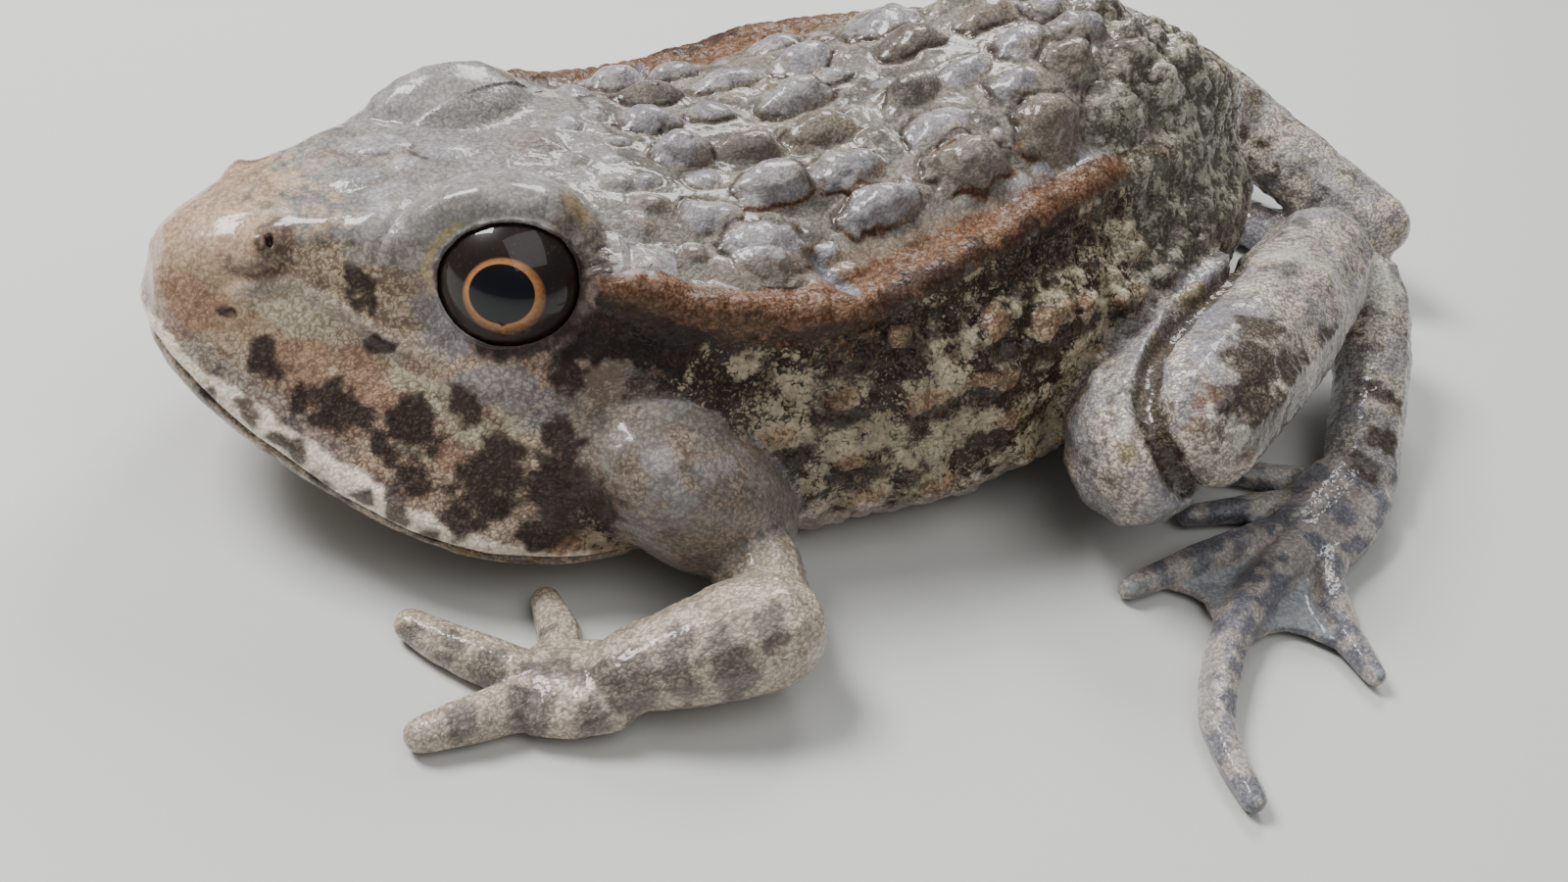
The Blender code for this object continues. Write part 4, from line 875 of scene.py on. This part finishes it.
# Vocal sac, and the smooth skin over it up to the ear
sacSkin = np.clip(sac + marks["taupe"], 0, 1) * smooth(18.5, 21.5, y + 0.8 * strayY)
sacFrontDark = 0.5 - 0.3 * (y - 21.0) + 1.0 * (lumps(straight, 2.0, 74) - 0.5)
cheekSpots = (marks["cheekDark"] + 0.5 * (lumps(straight, 0.9, 48) - 0.5)) * (marks["cheekDark"] > 0)
coat("sac", sacSkin, 0.97)
coat("cheekDark", sacSkin * sacFrontDark * smooth(13.5, 11.5, z), 0.7)
coat("cheek", sacSkin * patches(2.4, 88, 0.56), 0.5)
coat("sacSheen", sacSkin * patches(2.8, 87, 0.6), 0.4)
coat("sacSheen", bell(sac - 0.45, 0.16) * smooth(25, 27, y) * smooth(4, 6, z), 0.6)
coat("cheekDark", cheekSpots * headAll * smooth(25, 23, y), 0.92)

# Flank: cream granules in clumps over dark brown, more of them low down and towards the rump
clumps = 0.5 * lumps(straight, 2.6, 51) + 0.3 * lumps(straight, 1.3, 52) + 0.2 * lumps(straight, 0.7, 53)
creamShare = 0.45 + 0.25 * smooth(46, 60, y) + 3.4 * (clumps - 0.5) + 0.5 * (grainFine - 0.4)
creamShare += 0.035 * (10 - z) - 0.2 * smooth(4.0, 1.2, across) * smooth(52, 34, y)
lowFlank = smooth(6.2, 3.6, z + strayX) * smooth(30, 34, y)
coat("flank", flank * (1 - 0.9 * marks["taupe"]))
coverWith(creamShare, flank > 0.5)
coat("flankMid", flank * patches(1.8, 82, 0.55), 0.25)
coat("flankDarkAndShadow", flank * patches(1.7, 83, 0.58), 0.75)
coat("flankPale", flank * patches(1.2, 84, 0.62) * smooth(30, 38, y), 0.6)
coat("flankPale", flankHalo * flankZone * (0.35 + 0.5 * strayY), 0.7)
# Dark mask behind the eye
maskSkin = (flank + head * smooth(-0.3, 0.6, across)) * (1 - 0.8 * marks["taupe"])
maskSkin *= smooth(20.5, 22.0, y) * smooth(36, 24, y + 3 * strayY) * smooth(14.2, 16.6, z + strayX)
coat("mask", maskSkin)
# Painted shadow under each flank wart
coat("flankDarkAndShadow", flankWartShadow * flankZone * (flankWart < 0.05), 0.85)
coat("flankWart", smooth(0.1, 0.9, flankWart + 0.7 * strayZ) * flankZone, 0.65)
coat("flankLow", flank * lowFlank * patches(2.0, 77, 0.42), 0.85)

# Back: each wart takes one of four tones, and its shaded end is darker; along its inner rim lie a line
# of painted shade and, just beyond it, a pale line of painted glint
coat("valley", back * patches(2.4, 73, 0.5) * smooth(22, 30, y), 0.6)
for tone, low, high in (("wartTop", 0.4, 1.01), ("wartBrown", 0.0, 0.1), ("lobe", 0.1, 0.25)):
    coat(tone, wartInside * (wartMood >= low) * (wartMood < high), 0.5)
coat("wartBrown", wartShade * (0.35 + 0.7 * wartMood), 0.8)
# Painted glint round the inner side of each wart, then painted shade along its rim
coat("valley", wartGlintLine, 0.9)
coat("rustDark", wartShadeLine, 0.7)
# Rust lines under the outer warts, over two stretches of the back
rustRuns = smooth(32, 33.5, y) * smooth(43.5, 42, y) + smooth(46.5, 48, y) * smooth(56, 54, y)
streak = wartOuter * rustRuns * smooth(0.9, 1.6, aboveFold) * smooth(6.5, 7.5, side)
coat("rust", streak, 0.95)
coat("rustDark", streak * (wartOuter - 0.2), 0.8)
# The fold runs from a grey-pink crest through rust to dark brown under it
intoCrest = smooth(-0.9, 0.9, across - lineAt("pinkTop", y) + strayY)
crest = foldRun * intoCrest * smooth(24, 26, y) * smooth(0.9, 0.1, rustGap)
coat("lobe", crest * smooth(40, 37, y), 0.8)
coat("pink", crest * smooth(35, 39, y), 0.8)
belowRust = rustGap - rustHalf
rustSkin = foldRun * smooth(22.0, 24.0, y)
rustSkin *= smooth(-1.0, 0.35, rustGap + rustHalf) * smooth(0.6, -0.6, belowRust)
lowerRust = smooth(0.0, 1.0, rustGap + 0.8 * strayY) * smooth(1.0, -0.4, belowRust + 1.5 * strayZ)
underFold = smooth(0.2, 0.8, belowRust) * smooth(4.5, 2.5, belowRust)
coat("rust", rustSkin, 0.95)
coat("rustDark", foldRun * lowerRust, 0.8)
coat("flankDarkAndShadow", foldRun * patches(2.0, 80, 0.5) * underFold, 0.7)
coat("lilac", crossGroove * foldRun, 0.9)
# Rump: pale granules over grey-brown
coat("rump", rump + 0.6 * (lumps(straight, 3.0, 89) - 0.5) * (rump > 0.02))
coverWith(0.42 + 1.0 * (grainCoarse - 0.45) + 0.4 * (grainFine - 0.4), rump)
coat("rumpDark", rump * patches(2.2, 57, 0.56), 0.7)

# Limbs
coat("arm", isArm)
coat("leg", isLeg)
coat("legLilac", isLeg * patches(2.8, 76, 0.5), 0.7)
coat("legDark", leg * patches(1.3, 85, 0.66), 0.6)
coat("foot", isLeg * foot)
coat("foot", leg * smooth(5.5, 3.5, z) * smooth(60, 64, y), 0.8)
for name, tone, strength in (
        ("legLilac", "legLilac", 0.8), ("legDark", "legDark", 0.9), ("armBars", "armBar", 0.85),
        ("legCream", "legPale", 0.8), ("legRed", "legRust", 0.5), ("legYellow", "legOchre", 0.8)):
    coat(tone, spots(leftMarks[name], bothSides=False) * limb, strength)
coat("footPale", isLeg * foot * patches(1.8, 78, 0.52), 0.8)
# Painted shade darkens the crease between thigh and shank
coat("legDark", crease, 0.9)
coat("legOchre", crease * smooth(0.5, 0.8, lumps(straight, 2.0, 81)) * smooth(62, 68, y), 0.5)
rightBars = np.where(x < 0, patches(3.4, 63, 0.56), 0)
coat("legDark", rightBars * leg, 0.8)
coat("armBar", rightBars * isArm, 0.8)
web = body.blur(isWeb.astype(float), 3)
coat("web", web, 0.8)

# Underside
throat = jaw * smooth(-1.6, -3.0, mouthGap + 0.6 * strayY)
coat("belly", smooth(4.6, 2.4, z + 1.2 * strayX) * region["trunk"] + throat, 0.9)

# Lids and nostrils
lidShade = smooth(1.32, 1.03, lidReach + 0.15 * strayX) * (lidUp < 2.2)
lidShade *= smooth(-0.6, 1.4, lidRear - 0.6 * lidUp)
coat("lidTop", smooth(2.0, 1.4, lidReach) * smooth(0.2, 1.4, lidUp), 0.7)
coat("lidOlive", marks["olive"], 0.8)
coat("lidGold", marks["ochre"], 0.6)
coat("lidFlesh", smooth(1.3, 1.08, lidReach) * smooth(1.5, -0.5, lidUp), 0.8)
coat("lidDark", lidShade, 0.9)
coat("lilac", smooth(1.45, 1.08, lidReach) * smooth(-1.4, -3.0, lidRear) * smooth(-0.4, -1.8, lidUp), 0.7)
coat("lidLine", bell(lidReach - 1.1, 0.022) * smooth(-2.0, -3.4, lidRear) * smooth(-1.2, 0.4, lidUp), 0.8)
coat("lidDark", bell(lidReach - 1.01, 0.05) * smooth(-2.5, 0, lidUp), 0.8)
# Painted shade inside the nostril slit
coat("nostril", nostrilSlitShade, 0.9)

# Where the granules are hardly raised, and where the wet film is thinner
smoothSkin = sac + web + smooth(1.9, 1.5, lidReach) + smooth(4.0, 2.0, z) * bulk
smoothSkin += smooth(12, 6, y) * head * 0.8 + 0.5 * back * (1 - rump) * (1 - foldBand)
thinFilm = rustSkin + foldBand * (across > -1.5) + 0.7 * flank + 0.6 * marks["cheekDark"] * headAll
skinValues = (
    ("groundTone", ground), ("grainTone", grains), ("straight", straight), ("grainCover", cover),
    ("grainy", 1 - 0.75 * np.clip(smoothSkin, 0, 1)[:, None]),
    ("film", 1 - 0.7 * np.clip(thinFilm, 0, 1)[:, None]),
)


def keepValues(mesh, values):
    # Keeps values of each point with the mesh for its material: single numbers, places or colours
    fields = {1: ("FLOAT", "value"), 3: ("FLOAT_VECTOR", "vector"), 4: ("FLOAT_COLOR", "color")}
    for label, rows in values:
        kind, field = fields[rows.shape[1]]
        kept = mesh.attributes.new(label, kind, "POINT")
        kept.data.foreach_set(field, rows.astype(np.float32).ravel())


keepValues(skin.data, skinValues)


def feed(tree, node, inputs):
    # Links the inputs that come from other nodes and sets the others
    for name, value in inputs.items():
        if isinstance(value, bpy.types.NodeSocket):
            tree.links.new(value, node.inputs[name])
        else:
            node.inputs[name].default_value = value


def addNode(tree, kind, settings=None, inputs=None):
    node = tree.nodes.new(kind)
    for name, value in (settings or {}).items():
        setattr(node, name, value)
    feed(tree, node, inputs or {})
    return node


def calculate(tree, operation, *values):
    return addNode(tree, "ShaderNodeMath", {"operation": operation}, dict(enumerate(values))).outputs[0]


def spread(tree, value, old, new=(0.0, 1.0), kind="LINEAR"):
    # Maps one range of values onto another
    return addNode(tree, "ShaderNodeMapRange", {"interpolation_type": kind},
                   dict(enumerate((value, *old, *new)))).outputs[0]


def blend(tree, share, first, second):
    return addNode(tree, "ShaderNodeMix", {"data_type": "RGBA"}, {0: share, 6: first, 7: second}).outputs[2]


def fromMesh(tree, name, output="Fac"):
    return addNode(tree, "ShaderNodeAttribute", {"attribute_name": name}).outputs[output]


def newMaterial(name):
    material = bpy.data.materials.new(name)
    material.use_nodes = True
    return material, material.node_tree, material.node_tree.nodes["Principled BSDF"]


# Wet frog skin: a thin film of mucus over a matt, grained hide, so sharp glints lie on soft colour.
# Sizes in mm; the ranges say how light the granules and the clouds are, and how rough the hide is.
frogSkin = {"grain": 0.24, "edge": 0.24, "spread": 0.3, "relief": 0.07, "reliefStrength": 0.9,
            "stray": 0.6, "strayScale": 2.2, "mottle": 2.5, "speck": (0.8, 1.2), "cloud": (0.74, 1.22),
            "roughness": (0.36, 0.56), "ior": 1.4, "specular": 0.25, "ripple": 0.13, "rippleStrength": 0.6,
            "filmWeight": 0.9, "filmRoughness": 0.12, "filmIor": 1.38}


def wetFrogSkin():
    material, tree, shader = newMaterial("wetFrogSkin")
    place, ground, grainTone = (fromMesh(tree, "straight", "Vector"), fromMesh(tree, "groundTone", "Color"),
                                fromMesh(tree, "grainTone", "Color"))
    covered, grainy, film = (fromMesh(tree, name) for name in ("grainCover", "grainy", "film"))
    # Granules of the hide, each a cell of this size; more of them show where more is covered
    stray = addNode(tree, "ShaderNodeTexNoise", None, {
        "Vector": place, "Scale": frogSkin["strayScale"], "Detail": 1.0})
    shifted = addNode(tree, "ShaderNodeVectorMath", {"operation": "MULTIPLY_ADD"},
                      {0: stray.outputs["Color"], 1: (frogSkin["stray"],) * 3, 2: place}).outputs[0]
    cells = addNode(tree, "ShaderNodeTexVoronoi", None, {"Vector": shifted, "Scale": 1 / frogSkin["grain"]})
    pick = addNode(tree, "ShaderNodeSeparateColor", None, {"Color": cells.outputs["Color"]})
    apart = calculate(tree, "MULTIPLY_ADD", pick.outputs["Red"], frogSkin["spread"], covered)
    inGrain = calculate(tree, "SUBTRACT", apart, cells.outputs["Distance"])
    middle, edge = frogSkin["spread"] / 2, frogSkin["edge"]
    share = spread(tree, inGrain, (middle - edge, middle + edge), kind="SMOOTHSTEP")
    colour = blend(tree, share, ground, grainTone)
    # Each granule is a little lighter or darker, and slow clouds of tone run over many of them
    cloud = addNode(tree, "ShaderNodeTexNoise", None, {
        "Vector": place, "Scale": 1 / frogSkin["mottle"], "Detail": 4.0, "Roughness": 0.65}).outputs["Fac"]
    shade = calculate(tree, "MULTIPLY", spread(tree, pick.outputs["Green"], (0.0, 1.0), frogSkin["speck"]),
                      spread(tree, cloud, (0.3, 0.7), frogSkin["cloud"]))
    toned = addNode(tree, "ShaderNodeVectorMath", {"operation": "SCALE"}, {0: colour, "Scale": shade})
    lift = calculate(tree, "MULTIPLY", cells.outputs["Distance"], grainy)
    bump = addNode(tree, "ShaderNodeBump", {"invert": True}, {
        "Height": lift, "Distance": frogSkin["relief"] * mm, "Strength": frogSkin["reliefStrength"]})
    # The film on top is only rippled, so it stays bright and sharp
    ripple = addNode(tree, "ShaderNodeBump", None, {
        "Height": calculate(tree, "MULTIPLY", stray.outputs["Fac"], grainy),
        "Distance": frogSkin["ripple"] * mm, "Strength": frogSkin["rippleStrength"]})
    feed(tree, shader, {
        "Base Color": toned.outputs[0],
        "Normal": bump.outputs["Normal"], "Coat Normal": ripple.outputs["Normal"],
        "Coat Weight": calculate(tree, "MULTIPLY", film, frogSkin["filmWeight"]),
        "Roughness": spread(tree, cloud, (0.3, 0.7), frogSkin["roughness"]),
        "IOR": frogSkin["ior"], "Specular IOR Level": frogSkin["specular"],
        "Coat Roughness": frogSkin["filmRoughness"], "Coat IOR": frogSkin["filmIor"]})
    return material


skin.data.materials.append(wetFrogSkin())
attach(skin, "root")
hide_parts(*fleshNodes)

print("eyes: shaping")
# Eyes: clear wet cornea, so one hard reflection over a dark iris with a copper ring round the pupil.
# Sizes in mm; the third lid shows behind and a rim of the lower lid under the iris.
eyeLook = {"pupil": (1.93, 1.83), "notch": (0.22, 0.14), "ring": (2.46, 2.40), "ringShift": (0.13, -0.23),
           "gaze": (0.12, -0.25), "thread": 0.25, "pupilColour": "#080A12", "ringColour": "#B87F4C",
           "ringEdge": "#5A3622", "iris": "#1F1613", "fleck": "#5C4030", "membrane": "#75675F",
           "thirdLid": ((0.80, 0.86), (0.97, 0.93), (-1.6, -2.8), (1.9, 1.0)),
           "lowerRim": ((0.72, 0.97), (-1.2, -3.0)), "lowerShare": 0.75}


def wetCornea():
    material, tree, shader = newMaterial("clearWetCornea")
    pupil, ring, membrane = (fromMesh(tree, name) for name in ("fromPupil", "fromRing", "membrane"))
    colours = {name: linearColour(value) for name, value in eyeLook.items() if str(value).startswith("#")}
    # Threads of the iris, with pale flecks among them
    threads = addNode(tree, "ShaderNodeTexNoise", None, {
        "Vector": fromMesh(tree, "eyePlace", "Vector"), "Scale": 1 / eyeLook["thread"],
        "Detail": 4.0, "Roughness": 0.7}).outputs["Fac"]
    colour = blend(tree, spread(tree, threads, (0.58, 0.72), (0.0, 0.55), "SMOOTHSTEP"),
                   colours["iris"], colours["fleck"])
    # The copper ring has a wavy outer edge and darkens outwards; over it lie the pupil and the third lid
    wavy = calculate(tree, "MULTIPLY_ADD", threads, 0.22, ring)
    worn = calculate(tree, "MULTIPLY_ADD", threads, -0.9, pupil)
    copper = blend(tree, spread(tree, worn, (-0.4, 0.25)), colours["ringColour"], colours["ringEdge"])
    for value, limits, tone in ((wavy, (0.22, 0.02), copper), (pupil, (0.05, -0.03), colours["pupilColour"]),
                                (membrane, (0.1, 0.9), colours["membrane"])):
        colour = blend(tree, spread(tree, value, limits, kind="SMOOTHSTEP"), colour, tone)
    feed(tree, shader, {"Base Color": colour, "Roughness": 0.35, "Specular IOR Level": 0.15,
                        "Coat Weight": 1.0, "Coat Roughness": 0.02, "Coat IOR": 1.38})
    return material


def makeEye(name, node, side, material):
    ball = bmesh.new()
    bmesh.ops.create_uvsphere(ball, u_segments=128, v_segments=96, radius=eyeShape["ball"])
    centre, axis, rear, up = eyeAxes(side)
    turn = Vector((0, 0, 1)).rotation_difference(Vector(axis)).to_matrix().to_4x4()
    bmesh.ops.transform(ball, matrix=turn, verts=ball.verts)
    data = bpy.data.meshes.new(name)
    ball.to_mesh(data)
    ball.free()
    spot = readOut(data.vertices, "co")
    away = np.stack([spot @ rear, spot @ up, spot @ axis], axis=1)
    # Distances along the ball from the middle of the pupil, in mm
    angle = np.arccos(np.clip(away[:, 2] / eyeShape["ball"], -1, 1))
    stretch = eyeShape["ball"] * angle / np.maximum(np.hypot(away[:, 0], away[:, 1]), 1e-6)
    across, high = away[:, 0] * stretch - eyeLook["gaze"][0], away[:, 1] * stretch - eyeLook["gaze"][1]

    def outOf(sizes, shift):
        middle = (sizes[0] + sizes[1]) / 2
        return middle * (np.hypot((across - shift[0]) / sizes[0], (high - shift[1]) / sizes[1]) - 1)

    notch = eyeLook["notch"][0] * bell(across, eyeLook["notch"][1]) * (high < 0)
    reach, rearward, height, _ = lidPlace(spot + centre, side)
    inner, outer, behind, below = eyeLook["thirdLid"]
    membrane = smooth(*inner, reach) * smooth(*outer, reach)
    membrane *= smooth(*behind, rearward) * smooth(*below, height)
    outward, lower = eyeLook["lowerRim"]
    membrane = np.maximum(membrane, eyeLook["lowerShare"] * smooth(*outward, reach) * smooth(*lower, height))
    keepValues(data, (("fromPupil", (outOf(eyeLook["pupil"], (0, 0)) - notch)[:, None]), ("eyePlace", away),
                      ("fromRing", outOf(eyeLook["ring"], eyeLook["ringShift"])[:, None]),
                      ("membrane", membrane[:, None])))
    low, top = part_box(node)
    data.transform(Matrix.Translation((low + top) / 2) @ Matrix.Scale(mm, 4))
    data.shade_smooth()
    data.materials.append(material)
    eye = newObject(name, data)
    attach(eye, "root")
    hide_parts(node)


cornea = wetCornea()
makeEye("eyeLeft", "eye_left", 1, cornea)
makeEye("eyeRight", "eye_right", -1, cornea)

print("stage: floor, light and camera")
# Matt pale paper that takes soft shadows, in an even room
stage = {"floor": 1.2, "floorColour": "#CFCFCB", "floorRoughness": 0.8,
         "world": "#DADEE2", "worldStrength": 0.22}
floorData = bpy.data.meshes.new("floor")
floorShape = bmesh.new()
bmesh.ops.create_grid(floorShape, x_segments=1, y_segments=1, size=stage["floor"])
floorShape.to_mesh(floorData)
floorShape.free()
floor = newObject("floor", floorData)
paper, tree, shader = newMaterial("mattPaper")
feed(tree, shader, {"Base Color": linearColour(stage["floorColour"]), "Roughness": stage["floorRoughness"]})
floorData.materials.append(paper)

# Lamps: place in the frog's frame and size in mm, power in watts; all of them look at the target
lamps = {
    "windowLight": {"from": (-150, -160, 330), "size": 150, "power": 2.5},
    "skyPanel": {"from": (160, 80, 330), "size": 320, "power": 0.5},
    "backPanel": {"from": (-190, 150, 230), "size": 110, "power": 0.6},
}
target = (origin + np.array([2.0, 40.0, 8.0])) * mm
for name, lamp in lamps.items():
    light = bpy.data.lights.new(name, "AREA")
    light.size = lamp["size"] * mm
    light.energy = lamp["power"]
    holder = newObject(name, light)
    holder.location = Vector((origin + np.array(lamp["from"])) * mm)
    holder.rotation_euler = (holder.location - Vector(target)).to_track_quat("Z", "Y").to_euler()
world = bpy.data.worlds.new("paleRoom")
world.use_nodes = True
feed(world.node_tree, world.node_tree.nodes["Background"],
     {"Color": linearColour(stage["world"]), "Strength": stage["worldStrength"]})
bpy.context.scene.world = world

# Camera: where it stands in the frog's frame, in mm, its roll and its lens on a 36 mm wide frame
view = {"at": (91.08, -8.57, 79.71), "right": (0.3608, 0.9125, 0.1928), "up": (-0.6438, 0.0941, 0.7594),
        "lens": 41.18}
camera = newObject("camera", bpy.data.cameras.new("camera"))
right = Vector(view["right"]).normalized()
away = right.cross(Vector(view["up"])).normalized()
turn = Matrix((right, away.cross(right), away)).transposed().to_4x4()
camera.matrix_world = Matrix.Translation(Vector((origin + np.array(view["at"])) * mm)) @ turn
camera.data.lens = view["lens"]
camera.data.clip_start = 0.001
bpy.context.scene.camera = camera
